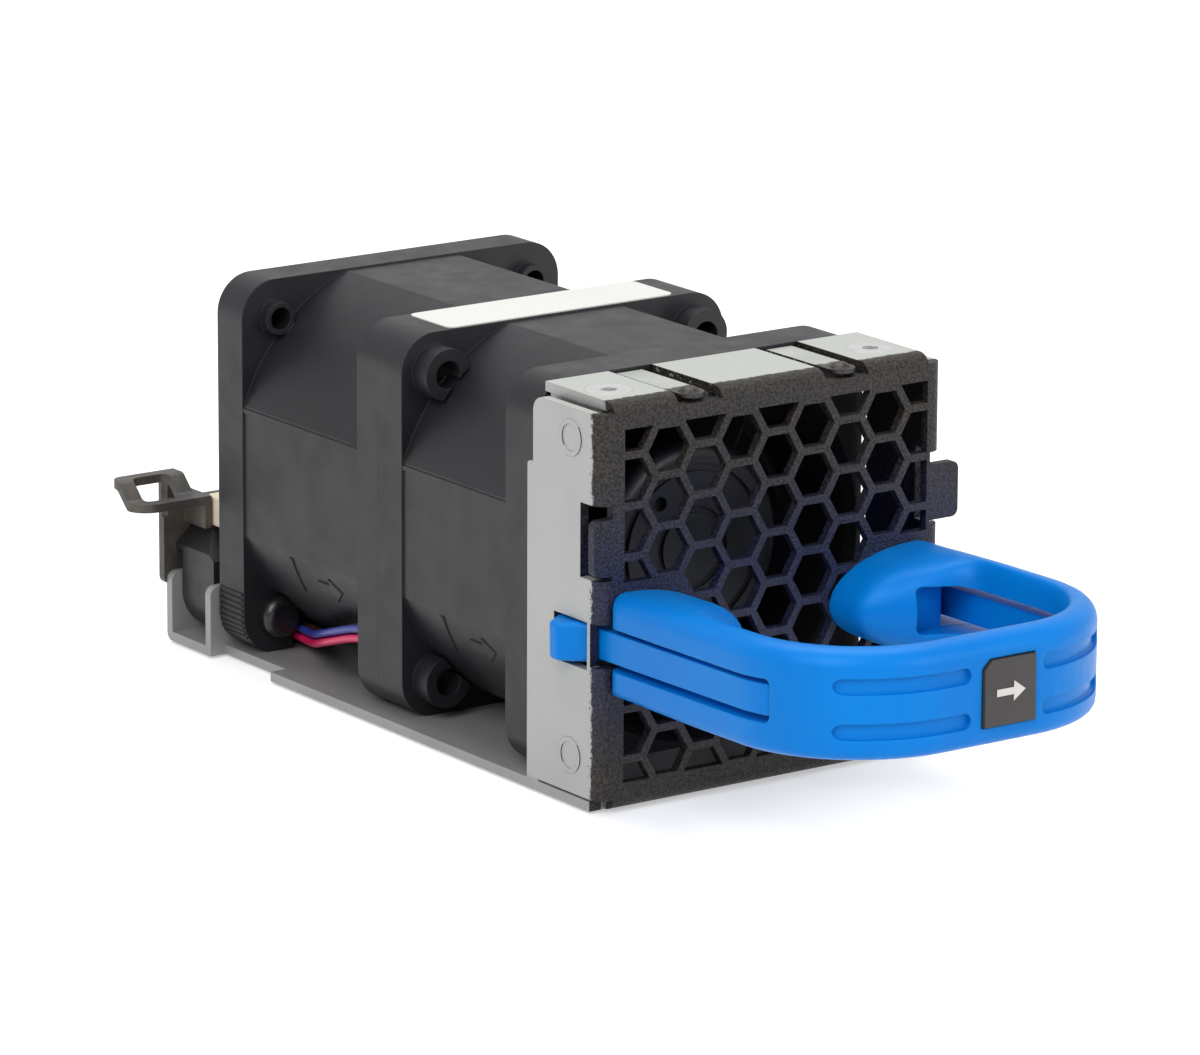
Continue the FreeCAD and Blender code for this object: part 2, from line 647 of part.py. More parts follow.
def clip_axis(points, axis, limit, sign):
    """Keep points where sign * coordinate <= sign * limit."""
    def cross(a, b):
        t = (limit - a[axis]) / (b[axis] - a[axis])
        return tuple(a[i] + t * (b[i] - a[i]) for i in range(2))
    return clip(points, lambda p: sign * p[axis] <= sign * limit + 1e-9, cross)


def area(points):
    """Area of an outline."""
    pairs = zip(points, points[1:] + points[:1])
    return abs(sum(a[0] * b[1] - b[0] * a[1] for a, b in pairs)) / 2


def honeycomb():
    """Outlines of the holes in the face, cut off at the border of the field."""
    radius = (HEX_PITCH - HEX_WEB) / sqrt(3)
    step = HEX_PITCH * cos(radians(30))
    low, high = AXIS_Z - HEX_DOWN, AXIS_Z + HEX_UP
    patch_low, patch_high = AXIS_Z - PATCH_DOWN, AXIS_Z + PATCH_UP
    borders = ((0, HEX_X + HEX_HALF_W, 1), (0, HEX_X - HEX_HALF_W, -1), (1, high, 1), (1, low, -1))
    outlines = []
    for column in range(HEX_COLUMNS):
        x = HEX_X + (column - (HEX_COLUMNS - 1) / 2) * step
        z = AXIS_Z + HEX_PHASE + (0 if column % 2 else HEX_PITCH / 2) + HEX_PITCH
        while z > low - radius:
            corners = [(x + radius * cos(radians(60 * k)), z + radius * sin(radians(60 * k)))
                       for k in range(6)]
            z -= HEX_PITCH
            for axis, limit, sign in borders:
                corners = clip_axis(corners, axis, limit, sign) if corners else corners
            if not corners:
                continue
            pieces = [corners]
            if abs(x) > PATCH_X:
                pieces = [clip_axis(corners, 1, patch_high, -1), clip_axis(corners, 1, patch_low, 1)]
            outlines += [p for p in pieces if len(p) > 2 and area(p) > HEX_LEAST]
    return outlines


def face_profile():
    """Floor, face and top flange as one folded section in the YZ plane."""
    top_end = FRONT_Y - 0.1
    outer = [(HOUSING_Y0, 0), (FACE_Y, 0), (FACE_Y, TOP_Z), (top_end, TOP_Z)]
    inner = [(top_end, TOP_Z - SHEET_T), (FACE_IN_Y, TOP_Z - SHEET_T), (FACE_IN_Y, SHEET_T),
             (HOUSING_Y0, SHEET_T)]
    return [V(0, y, z) for y, z in outer + inner]


def side_profile():
    """Face and both side flanges as one folded section in the XY plane."""
    rear = FRONT_Y - SIDE_GAP
    inner_x = HALF_W - SHEET_T
    outline = [(-HALF_W, rear), (-HALF_W, FACE_Y), (HALF_W, FACE_Y), (HALF_W, rear),
               (inner_x, rear), (inner_x, FACE_IN_Y), (-inner_x, FACE_IN_Y), (-inner_x, rear)]
    return [V(x, y, 0) for x, y in outline]


def fold(points, along, axis):
    """Extrude a folded section and round its bends inside and outside."""
    sheet = prism(points, along)
    thick = SHEET_T

    def is_bend(edge, corners):
        if not parallel(edge, axis):
            return False
        p = edge.CenterOfMass
        flat = V(p.x, p.y, p.z) - axis * p.dot(axis)
        return any((flat - (c - axis * c.dot(axis))).Length < 0.01 for c in corners)

    count = len(points) // 2
    outer_bends = points[1:count - 1]
    inner_bends = points[count + 1:2 * count - 1]
    sheet = round_edges(sheet, BEND_R, lambda e: is_bend(e, outer_bends))
    return round_edges(sheet, BEND_R - thick, lambda e: is_bend(e, inner_bends))


def make_tray():
    """Floor, perforated face, flanges, stop tabs, ears and connector bracket."""
    strip = [p + V(-TOP_HALF_W, 0, 0) for p in face_profile()]
    body = fold(strip, V(2 * TOP_HALF_W, 0, 0), X_AXIS)
    side_top = TOP_Z - SIDE_TOP_DROP
    side_low = SHEET_T + SIDE_FLOOR_GAP
    wrap = fold([p + V(0, 0, side_low) for p in side_profile()], V(0, 0, side_top - side_low), Z_AXIS)
    rear_corner = [e for e in wrap.Edges if parallel(e, X_AXIS) and e.BoundBox.ZMin > side_top - 0.01
                   and e.BoundBox.YMin > FRONT_Y - SIDE_GAP - 0.1]
    wrap = wrap.makeFillet(SIDE_CORNER, rear_corner)
    floor = box(-HALF_W, HALF_W, FACE_Y + BEND_R, FLOOR_END, 0, SHEET_T)
    narrow = box(-HALF_W + NOTCH_W, HALF_W - NOTCH_W, FLOOR_END - 1, EAR_Y + SHEET_T, 0, SHEET_T)
    bracket = box(-HALF_W, BRACKET_X1, EAR_Y, FAR_WALL_Y, 0, SHEET_T)
    ear = box(-HALF_W, -HALF_W + NOTCH_W, EAR_Y, EAR_Y + SHEET_T, 0, EAR_H)
    far_wall = box(-HALF_W, BRACKET_X1, FAR_WALL_Y - SHEET_T, FAR_WALL_Y, 0, EAR_H)
    rear = fuse([bracket, ear, far_wall])
    rear = round_edges(rear, BRACKET_BEND, lambda e: parallel(e, X_AXIS) and e.BoundBox.ZMax < 0.01
                       and e.BoundBox.YMin > FAR_WALL_Y - 0.01)
    rear = round_edges(rear, EAR_ROUND, lambda e: parallel(e, Y_AXIS) and e.BoundBox.ZMin > EAR_H - 0.01
                       and e.BoundBox.XMax < -HALF_W + 0.01)
    stops = []
    stop_z0, stop_z1 = AXIS_Z + STOP_LOW, AXIS_Z + STOP_HIGH
    for side in (-1, 1):
        edge_x = side * (HALF_W + STOP_OUT[side])
        root_x = side * (HALF_W - 2 * BEND_R)
        tab = box(min(edge_x, root_x), max(edge_x, root_x), FACE_Y, FACE_IN_Y, stop_z0, stop_z1)
        tab = round_edges(tab, STOP_CORNER, lambda e: parallel(e, Y_AXIS)
                          and abs(e.CenterOfMass.x - edge_x) < 0.01)
        stops.append(tab)
    relief = [box(*sorted((side * (HALF_W - SHEET_T - 0.6), side * (HALF_W + 1))), FACE_Y - 1,
                  FACE_Y + NOTCH_DEPTH, stop_z0 - NOTCH_DOWN, stop_z1 + NOTCH_UP) for side in (-1, 1)]
    flange_end = FRONT_Y - SIDE_GAP
    step = box(-HALF_W, -HALF_W + SHEET_T - FIT_GAP, flange_end - 1, flange_end + STEP_BACK,
               SHEET_T, AXIS_Z + STEP_RISE)
    step = round_edges(step, STEP_ROUND, lambda e: parallel(e, X_AXIS) and e.BoundBox.YMin > flange_end
                       and e.BoundBox.ZMin > AXIS_Z)
    sheet = fuse([body, cut(wrap, relief), floor, narrow, rear, step] + stops + dimples())
    sheet = cut(sheet, tray_cutters())
    PARTS["faceplate_tray"] = sheet


def dimples():
    """Pressed rings on both side flanges, level with the fan's corner holes."""
    rings = []
    for sz in (-1, 1):
        centre = V(HALF_W - SHEET_T / 2, FACE_Y + DIMPLE_Y, AXIS_Z + sz * HOLE_PITCH / 2)
        height = SHEET_T / 2 + DIMPLE_H
        outer = Part.makeCylinder(DIMPLE_R, height, centre, X_AXIS)
        right = outer.cut(Part.makeCylinder(DIMPLE_R - DIMPLE_W, height, centre, X_AXIS))
        rings += [right, mirror_x(right)]
    return rings


def tray_cutters():
    """Everything punched out of the sheet."""
    tools = []
    for outline in honeycomb():
        tools.append(prism([V(x, FACE_Y - 1, z) for x, z in outline], V(0, 3 * SHEET_T, 0)))
    for side in (-1, 1):
        slot = sorted((side * SLOT_INNER, side * SLOT_OUTER))
        tools.append(box(slot[0], slot[1], FACE_Y - 1, FRONT_Y, TOP_Z - SLOT_FACE_DEPTH, TOP_Z + 1))
        x = sorted((side * (HALF_W - FACE_SLOT_W), side * (HALF_W + 1)))
        half = LATCH_WINDOW_H / 2
        level = LATCH_Z - FACE_DROP
        slit = box(x[0], x[1], FACE_Y - 1, FACE_Y + BEND_R, level - half, level + half)
        tools.append(slit)
        x = sorted((side * (HALF_W - SHEET_T - 0.5), side * (HALF_W + 1)))
        tools.append(box(x[0], x[1], FACE_Y + LATCH_WINDOW[0], FACE_Y + LATCH_WINDOW[1],
                         level - half - LATCH_WINDOW_LOW, level + half))
        place = V(side * TOP_SCREW_X, FACE_Y + TOP_SCREW_Y, TOP_Z - TOP_SCREW_CONE)
        tools.append(Part.makeCone(TOP_SCREW_R, TOP_SCREW_HEAD_R, TOP_SCREW_CONE, place, Z_AXIS))
        tools.append(post(TOP_SCREW_R, place.x, place.y, TOP_Z - 2 * SHEET_T, TOP_Z))
        tools.append(rod(SCREW_R + SCREW_GAP, FACE_Y - 1, FACE_IN_Y + 1, side * HANDLE_SCREW_X,
                         HANDLE_Z - FACE_DROP))
    return tools


def make_top_fittings():
    """Spring strap, its two grounding springs and the countersunk screws."""
    under = TOP_Z - SHEET_T
    screw_y = FACE_Y + TOP_SCREW_Y
    half = HALF_W - max(TOP_INSET, SHEET_T + SMALL_GAP)
    strap = box(-half, half, screw_y - STRAP_FRONT, FRONT_Y - SMALL_GAP, under - STRAP_T, under)
    strap = round_edges(strap, STRAP_CORNER, lambda e: parallel(e, Z_AXIS))
    bores = [post(TOP_SCREW_R, side * TOP_SCREW_X, screw_y, under - 2, under + 1) for side in (-1, 1)]
    PARTS["spring_strap"] = cut(strap, bores + spring_reliefs())
    screws = []
    for side in (-1, 1):
        place = V(side * TOP_SCREW_X, screw_y, TOP_Z - TOP_SCREW_CONE)
        head = Part.makeCone(TOP_SCREW_R, TOP_SCREW_HEAD_R, TOP_SCREW_CONE, place, Z_AXIS)
        shank = post(TOP_SCREW_R, place.x, place.y, TOP_Z - TOP_SCREW_L, place.z)
        socket = prism([V(place.x + TOP_SOCKET * cos(radians(60 * k)),
                          place.y + TOP_SOCKET * sin(radians(60 * k)), TOP_Z - TOP_SOCKET_DEPTH)
                        for k in range(6)], V(0, 0, 1))
        screws.append(fuse([head, shank]).cut(socket))
    PARTS["top_screws"] = Part.Compound(screws)
    for side, name in ((-1, "left"), (1, "right")):
        PARTS[name + "_ground_spring"] = ground_spring(side * SPRING_X)


def spring_reliefs():
    """Room below each spring so that it can be pressed down."""
    under = TOP_Z - SHEET_T
    half = (SLOT_OUTER - SLOT_INNER) / 2
    mid = (SLOT_OUTER + SLOT_INNER) / 2
    rear = FRONT_Y - SPRING_ROOT - 2 * SMALL_GAP
    return [box(side * mid - half, side * mid + half, FACE_Y, rear, under - 2, under + 1)
            for side in (-1, 1)]


def ground_spring(x):
    """Leaf with a rounded free end and a contact dome."""
    top = TOP_Z - SPRING_DROP
    half = SPRING_W / 2
    y_end = FACE_Y + SPRING_FRONT
    y_root = FRONT_Y - SMALL_GAP
    leaf = box(x - half, x + half, y_end, y_root, top - SPRING_T, top)
    tip = post(half, x, y_end, top - SPRING_T, top)
    ball_r = (DOME_R ** 2 + DOME_H ** 2) / (2 * DOME_H)
    dome = Part.makeSphere(ball_r, V(x, y_end, top + DOME_H - ball_r))
    dome = dome.common(post(DOME_R, x, y_end, top - 0.1, top + 2))
    foot = box(x - half, x + half, y_root - SPRING_ROOT, y_root, TOP_Z - SHEET_T, top - SPRING_T)
    return fuse([leaf, tip, dome, foot])


# ================================================================ handle and latches
def rim_section(place):
    """Section of the handle band; place maps inset and height to a vector."""
    up, down = HANDLE_H / 2, -HANDLE_H / 2
    ro, ri, rb = RIM_OUTER_R, RIM_INNER_R, RIM_BOTTOM_R
    d = sqrt(0.5)
    w = HANDLE_T
    line = lambda a, b: Part.LineSegment(place(*a), place(*b)).toShape()
    arc = lambda a, m, b: Part.Arc(place(*a), place(*m), place(*b)).toShape()
    edges = [
        line((0, down + rb), (0, up - ro)),
        arc((0, up - ro), (ro - ro * d, up - ro + ro * d), (ro, up)),
        line((ro, up), (w - ri, up)),
        arc((w - ri, up), (w - ri + ri * d, up - ri + ri * d), (w, up - ri)),
        line((w, up - ri), (w, down + rb)),
        arc((w, down + rb), (w - rb + rb * d, down + rb - rb * d), (w - rb, down)),
        line((w - rb, down), (rb, down)),
        arc((rb, down), (rb - rb * d, down + rb - rb * d), (0, down + rb)),
    ]
    return Part.Face(Part.Wire(edges))


def handle_band():
    """The U-shaped band: two arms, two round corners and the grip."""
    start_y = FACE_Y + TRIM
    arm = rim_section(lambda s, h: V(-HANDLE_HALF_W + s, start_y, HANDLE_Z + h))
    left = arm.extrude(V(0, CORNER_Y - start_y, 0))
    start = rim_section(lambda s, h: V(-HANDLE_HALF_W + s, CORNER_Y, HANDLE_Z + h))
    bend = start.revolve(V(-CORNER_X, CORNER_Y, 0), Z_AXIS, 90)
    grip_face = rim_section(lambda s, h: V(-CORNER_X, HANDLE_FRONT_Y + s, HANDLE_Z + h))
    grip = grip_face.extrude(V(2 * CORNER_X, 0, 0))
    return fuse([left, bend, grip, mirror_x(bend), mirror_x(left)])


def foot_inner(depth):
    """Inner X of a foot at a distance in front of the face, as a smooth curve."""
    slim = HANDLE_HALF_W - HANDLE_T - LATCH_SKIN
    flare = FOOT_FLARE * (1 - min(depth / FLARE_L, 1.0)) ** 2
    wide = FOOT_TIP_X + FOOT_FLARE
    return wide + (slim - wide) * (depth / FOOT_REACH) ** 1.6 - flare


def foot():
    """Right foot: half an ellipse on the face that narrows into the arm."""
    spine = HANDLE_HALF_W - HANDLE_T / 2
    wires = []
    for share in (0.0, 0.05, 0.13, 0.26, 0.43, 0.65, 0.87, 1.0):
        depth = share * FOOT_REACH
        y = FACE_Y + TRIM - share * (FOOT_REACH + TRIM)
        a = spine - foot_inner(depth)
        b = FOOT_HALF_H - FOOT_TAPER / 2 * share
        top, low = V(spine, y, HANDLE_Z + b), V(spine, y, HANDLE_Z - b)
        side = V(spine - a, y, HANDLE_Z)
        centre = V(spine, y, HANDLE_Z)
        ellipse = Part.Ellipse(side, top, centre) if a > b else Part.Ellipse(top, side, centre)
        first, last = ellipse.parameter(top), ellipse.parameter(low)
        arcs = [Part.ArcOfEllipse(ellipse, first, last), Part.ArcOfEllipse(ellipse, last, first)]
        inner = [arc.toShape() for arc in arcs if arc.toShape().CenterOfMass.x < spine][0]
        wires.append(Part.Wire([inner, Part.LineSegment(low, top).toShape()]))
    return Part.makeLoft(wires, True, False)


def latch_path(inset0, inset1, z0, z1):
    """Strip that follows the outside of the left arm and corner between two insets."""
    radius0, radius1 = HANDLE_CORNER_R - inset0, HANDLE_CORNER_R - inset1
    straight = box(-HANDLE_HALF_W + inset0, -HANDLE_HALF_W + inset1, CORNER_Y, FACE_Y, z0, z1)
    curve = post(radius0, -CORNER_X, CORNER_Y, z0, z1).cut(post(radius1, -CORNER_X, CORNER_Y, z0, z1))
    wedge = box(-HANDLE_HALF_W - 1, -CORNER_X, HINGE_Y, CORNER_Y, z0, z1)
    return fuse([straight, curve.common(wedge)])


def lean(shape):
    """Lean a piece of the handle down towards the face, about its front."""
    leant = shape.copy()
    leant.rotate(V(0, HANDLE_FRONT_Y, HANDLE_Z), X_AXIS, -HANDLE_LEAN)
    return leant


def hinge_place():
    """Centre of the latch root on the middle of its strip."""
    radius = HANDLE_CORNER_R - LATCH_SKIN - LATCH_T / 2
    return -CORNER_X - sqrt(radius ** 2 - (CORNER_Y - HINGE_Y) ** 2), HINGE_Y


def left_latch():
    """Springy finger with the nose that catches in the bay."""
    z0, z1 = LATCH_Z - LATCH_H / 2, LATCH_Z + LATCH_H / 2
    strip = latch_path(LATCH_SKIN, LATCH_SKIN + LATCH_T, z0, z1)
    root = post(LATCH_T / 2, *hinge_place(), z0, z1)
    x_out = -HANDLE_HALF_W + LATCH_SKIN
    inside = box(x_out, x_out + LATCH_T, FACE_Y, FACE_Y + NOSE_REAR, z0, z1)
    tip_x = -HALF_W - NOSE_OUT
    y0, y1 = FACE_Y + NOSE_FRONT, FACE_Y + NOSE_REAR
    low = LATCH_Z - NOSE_H / 2
    root_x = x_out + LATCH_T / 3
    outline = [V(root_x, y0, low), V(x_out - LATCH_T / 4, y0, low), V(tip_x + OVERLAP, y0 + NOSE_RAMP, low),
               V(tip_x, y0 + NOSE_RAMP + OVERLAP, low), V(tip_x, y0 + NOSE_RAMP + NOSE_TIP, low),
               V(tip_x + NOSE_OUT, y1, low), V(root_x, y1, low)]
    nose = prism(outline, V(0, 0, NOSE_H))
    nose = round_edges(nose, NOSE_ROUND, lambda e: e.BoundBox.XMax < x_out - LATCH_T / 5)
    return fuse([strip, root, inside, nose])


def groove(x0, x1, z):
    """Shallow groove with round ends that follows the outside of the handle."""
    half = GROOVE_W / 2
    depth = GROOVE_DEPTH
    reach = HANDLE_REACH
    bar = box(x0 + half, x1 - half, HANDLE_FRONT_Y - 1, HANDLE_FRONT_Y + reach - 1, z - half, z + half)
    ends = [Part.makeCylinder(half, reach, V(x, HANDLE_FRONT_Y - 1, z), Y_AXIS) for x in (x0 + half, x1 - half)]
    stadium = fuse([bar] + ends)
    outside = [box(-CORNER_X, CORNER_X, HANDLE_FRONT_Y - 1, HANDLE_FRONT_Y + depth, z - 2, z + 2)]
    for side in (-1, 1):
        disc = post(HANDLE_CORNER_R + 1, side * CORNER_X, CORNER_Y, z - 2, z + 2)
        disc = disc.cut(post(HANDLE_CORNER_R - depth, side * CORNER_X, CORNER_Y, z - 2, z + 2))
        limits = sorted((side * CORNER_X, side * (HANDLE_HALF_W + 2)))
        outside.append(disc.common(box(limits[0], limits[1], HANDLE_FRONT_Y - 2, CORNER_Y, z - 2, z + 2)))
    return stadium.common(fuse(outside))


def badge_block(grow, y0, y1):
    """The tile's outline as a block."""
    half_w, half_h = BADGE_W / 2 + grow, BADGE_H / 2 + grow
    x, z = BADGE_X, HANDLE_Z - BADGE_DROP
    points = [V(x - half_w, y0, z - half_h), V(x + half_w, y0, z - half_h), V(x + half_w, y0, z + half_h),
              V(x - half_w + BADGE_CHAMFER, y0, z + half_h), V(x - half_w, y0, z + half_h - BADGE_CHAMFER)]
    return prism(points, V(0, y1 - y0, 0))


def make_handle():
    """Handle, both latches, the tile and the screws from behind the face."""
    right = foot()
    body = fuse([handle_band(), right, mirror_x(right)])
    half = WINDOW_H / 2
    x_in = FOOT_TIP_X / 2
    window = box(-HANDLE_HALF_W - 1, -x_in, HANDLE_FRONT_Y + WINDOW_SETBACK, FACE_Y - WINDOW_REAR,
                 HANDLE_Z - half, HANDLE_Z + half)
    window = round_edges(window, WINDOW_CORNER, lambda e: parallel(e, X_AXIS))
    channel = box(-HANDLE_HALF_W - 1, -HANDLE_HALF_W + 2 * LATCH_T, FACE_Y - WINDOW_REAR - 1, FACE_Y + 1,
                  HANDLE_Z - half, HANDLE_Z + half)
    socket = post(LATCH_T / 2 + LATCH_GAP, *hinge_place(), LATCH_Z - LATCH_H / 2 - LATCH_GAP,
                  LATCH_Z + LATCH_H / 2 + LATCH_GAP)
    arms = [window, channel, socket]
    tools = arms + [mirror_x(a) for a in arms]
    for height in (GROOVE_UP, -GROOVE_DOWN):
        z = HANDLE_Z + height
        tools.append(groove(-GROOVE_REACH, BADGE_X - BADGE_W / 2 - BADGE_MARGIN, z))
        tools.append(groove(BADGE_X + BADGE_W / 2 + BADGE_MARGIN, GROOVE_REACH, z))
    tools.append(badge_block(BADGE_GAP, HANDLE_FRONT_Y - 1, HANDLE_FRONT_Y + BADGE_T))
    level = HANDLE_Z - FACE_DROP
    behind = [box(-HALF_W, HALF_W, FACE_Y, FACE_Y + 2, level - HANDLE_H, level + HANDLE_H)]
    behind += [rod(SCREW_R, FACE_Y - SCREW_L - SCREW_GAP, FACE_Y, side * HANDLE_SCREW_X, level)
               for side in (-1, 1)]
    PARTS["handle"] = cut(lean(cut(body, tools)), behind)
    latch = lean(left_latch())
    PARTS["left_latch"] = latch
    PARTS["right_latch"] = mirror_x(latch)
    PARTS["handle_badge"] = lean(badge_block(0.0, HANDLE_FRONT_Y - BADGE_RAISE, HANDLE_FRONT_Y + BADGE_T))
    screws = []
    for side in (-1, 1):
        x = side * HANDLE_SCREW_X
        head = rod(SCREW_HEAD_R, FACE_IN_Y, FACE_IN_Y + SCREW_HEAD_H, x, level)
        shank = rod(SCREW_R, FACE_Y - SCREW_L, FACE_IN_Y, x, level)
        cross = [box(x - a, x + a, FACE_IN_Y + SCREW_HEAD_H / 2, FACE_IN_Y + SCREW_HEAD_H, level - b, level + b)
                 for a, b in ((CROSS_HALF_W, CROSS_HALF_L), (CROSS_HALF_L, CROSS_HALF_W))]
        screws.append(cut(fuse([head, shank]), cross))
    PARTS["handle_screws"] = Part.Compound(screws)


# ================================================================ connector end
def make_connector():
    """Housing in the bracket, its contacts, the guide plate with loop, plug and rivets."""
    make_housing()
    PARTS["rear_guide"] = rear_guide()
    plug_x0 = -FAN_SIZE / 2 + PLUG_INSET
    plug_y0 = REAR_Y + SMALL_GAP
    plug = box(plug_x0, plug_x0 + PLUG_L, plug_y0, plug_y0 + PLUG_W,
               HOUSING_TOP + FIT_GAP, HOUSING_TOP + PLUG_H)
    PARTS["fan_plug"] = round_edges(plug, PLUG_ROUND, lambda e: parallel(e, Y_AXIS))
    rivets = []
    seat = REAR_Y - REAR_FLANGES[1]
    for x, z in rivet_places():
        head = rod(RIVET_HEAD_R, seat - RIVET_HEAD_H, seat, x, z)
        head = round_edges(head, RIVET_HEAD_H / 2, lambda e: e.BoundBox.YMax < seat - RIVET_HEAD_H + 0.01)
        shank = rod(HOLE_R - FIT_GAP, seat, REAR_Y + 2 * FIT_GAP, x, z)
        rivets.append(fuse([head, shank]))
    PARTS["push_rivets"] = Part.Compound(rivets)


def make_housing():
    """Connector housing with its roof and mating nose, and the contacts in it."""
    x0, x1, y0, y1 = HOUSING_X0, HOUSING_X1, HOUSING_Y0, HOUSING_Y1
    waist = SHEET_T + HOUSING_LOW_H
    lower = box(x0, x1, y0, y1, SHEET_T, waist)
    lower = round_edges(lower, HOUSING_ROUND, lambda e: parallel(e, Y_AXIS)
                        and e.BoundBox.ZMax < SHEET_T + 0.01 and e.BoundBox.XMax < x0 + 0.01)
    section = [(y0, waist - OVERLAP), (y0, HOUSING_LEDGE), (GUIDE_Y - ROOF_RIDGE, HOUSING_TOP),
               (GUIDE_Y, HOUSING_TOP), (GUIDE_Y, HOUSING_LEDGE), (y1, HOUSING_LEDGE), (y1, waist - OVERLAP)]
    roof = prism([V(x0, y, z) for y, z in section], V(x1 - x0, 0, 0))
    slope = [V(x0 - 1, y0, HOUSING_LEDGE - OVERLAP), V(x0 + HIP, y0, HOUSING_TOP + 1),
             V(x0 - 1, y0, HOUSING_TOP + 1)]
    roof = roof.cut(prism(slope, V(0, GUIDE_Y - y0, 0)))
    nose_x1 = NOSE_X0 + NOSE_W
    nose_end = GUIDE_Y + GUIDE_T + MATE_L
    nose = box(NOSE_X0, nose_x1, GUIDE_Y - GUIDE_T, nose_end, EAR_H + MATE_CLEAR, HOUSING_TOP - 2 * MATE_CLEAR)
    nose = round_edges(nose, MATE_ROUND, lambda e: parallel(e, Y_AXIS))
    tools = [box(x0 + POCKET_RIM, NOSE_X0 - OVERLAP, y0 - 1, y0 + POCKET_DEPTH, low, high)
             for low, high in POCKET_LEVELS]
    pins = []
    pitch = NOSE_W / CONTACTS
    for k in range(CONTACTS):
        x = NOSE_X0 + pitch * (k + 0.5)
        for (width, height), start, end, group in ((CONTACT_SLOT, -1, nose_end - GUIDE_Y + 1, tools),
                                                   (CONTACT_PIN, -1, GUIDE_T + CONTACT_L, pins)):
            group.append(box(x - width / 2, x + width / 2, GUIDE_Y + start, GUIDE_Y + end,
                             CONTACT_Z - height / 2, CONTACT_Z + height / 2))
    wire_hole = rod(BUNDLE_R, y0 - 1, WIRE_END + BUNDLE_CLEAR, *BUNDLE_END)
    PARTS["connector_housing"] = cut(fuse([lower, roof, nose]), tools + [wire_hole])
    PARTS["connector_contacts"] = Part.Compound(pins)


def rear_guide():
    """Upright plate behind the bracket whose top is drawn out into a loop."""
    y0, y1 = GUIDE_Y, GUIDE_Y + GUIDE_T
    t = LOOP_T
    near, far = GUIDE_Y - LOOP_NEAR, GUIDE_Y + LOOP_FAR
    low, high = LOOP_LOW, LOOP_LOW + LOOP_RISE
    shoulder = low - GUIDE_T
    left = -HALF_W - GUIDE_OUT
    plate = box(left, HOUSING_X1, y0, y1, GUIDE_BOTTOM, shoulder)
    plate = round_edges(plate, GUIDE_CORNER, lambda e: parallel(e, Y_AXIS) and e.BoundBox.XMax < left + 0.01)
    knee, crest = near + LOOP_RAMP, near + 2 * LOOP_RAMP
    profile = [(near, low), (knee, low), (crest, high), (far, high),
               (far, high - t), (crest + OVERLAP, high - t), (knee + OVERLAP, low - t), (near, low - t)]
    wing = prism([V(LOOP_X0, y, z) for y, z in profile], V(LOOP_L, 0, 0))
    wing = round_edges(wing, LOOP_BEND, lambda e: parallel(e, X_AXIS)
                       and near + 1 < e.CenterOfMass.y < crest + 2 * OVERLAP)
    for radius, end in ((LOOP_CORNER, far), (LOOP_NEAR_CORNER, near)):
        wing = round_edges(wing, radius, lambda e: parallel(e, Z_AXIS) and e.BoundBox.XMax < LOOP_X0 + 0.01
                           and abs(e.CenterOfMass.y - end) < 0.01)
    hole = box(LOOP_X0 + LOOP_RIM, LOOP_X1 - LOOP_RIM, near + LOOP_RIM * 0.8, far - LOOP_RIM * 0.8,
               low - 3 * t, high + 3 * t)
    hole = round_edges(hole, LOOP_BEND, lambda e: parallel(e, Z_AXIS))
    riser = box(left, LOOP_X1, y0, y1, shoulder - GUIDE_T, high - t)
    shelf_x = LOOP_X1 + SHELF_L
    shelf = box(LOOP_X1 - OVERLAP, shelf_x, near, y0 + OVERLAP, low - t, low)
    lip = box(shelf_x - SHELF_T, shelf_x, near, y0 + OVERLAP, HOUSING_TOP, low)
    window = box(NOSE_X0 - FIT_GAP, NOSE_X0 + NOSE_W + FIT_GAP, y0 - 1, y1 + 1, EAR_H + MATE_CLEAR - FIT_GAP,
                 HOUSING_TOP - 2 * MATE_CLEAR + FIT_GAP)
    return cut(fuse([plate, wing, riser, shelf, lip]), [hole, window])


# ================================================================ wires
def beside_barrel(angle, clear):
    """X and Z of the bundle in the corner channel of the rear fan."""
    radius = BARREL_R + clear
    return -radius * cos(radians(angle)), AXIS_Z - radius * sin(radians(angle))


BUNDLE_START = beside_barrel(CHANNEL_ANGLE, CHANNEL_CLEAR)
BUNDLE_END = beside_barrel(NOTCH_ANGLE, NOTCH_CLEAR)
WIRE_STOPS = [(WIRE_START, CHANNEL_ANGLE, CHANNEL_CLEAR), (0.17 * REAR_Y, 35.2, 1.4),
              (0.45 * REAR_Y, 41.4, 2.6), (0.71 * REAR_Y, 53.6, 1.6),
              (0.93 * REAR_Y, NOTCH_ANGLE, NOTCH_CLEAR), (WIRE_END, NOTCH_ANGLE, NOTCH_CLEAR)]
WIRE_COLOURS = ("red", "blue", "black", "brown")


def rounded_path(points):
    """Straight runs joined by tangent arcs."""
    pts = [V(*p) for p in points]
    edges = []
    start = pts[0]
    for before, here, after in zip(pts, pts[1:], pts[2:]):
        into, out = here - before, after - here
        reach = 0.45 * min(into.Length, out.Length)
        turn = into.getAngle(out)
        a = here - into.normalize() * reach
        b = here + out.normalize() * reach
        bisector = (b - a).normalize()
        normal = (a + b) * 0.5 - here
        centre = here + normal.normalize() * (reach / sin(turn / 2))
        middle = centre - normal.normalize() * (reach / tan(turn / 2))
        edges.append(Part.LineSegment(start, a).toShape())
        edges.append(Part.Arc(a, middle, b).toShape())
        start = b
    edges.append(Part.LineSegment(start, pts[-1]).toShape())
    return Part.Wire(edges)


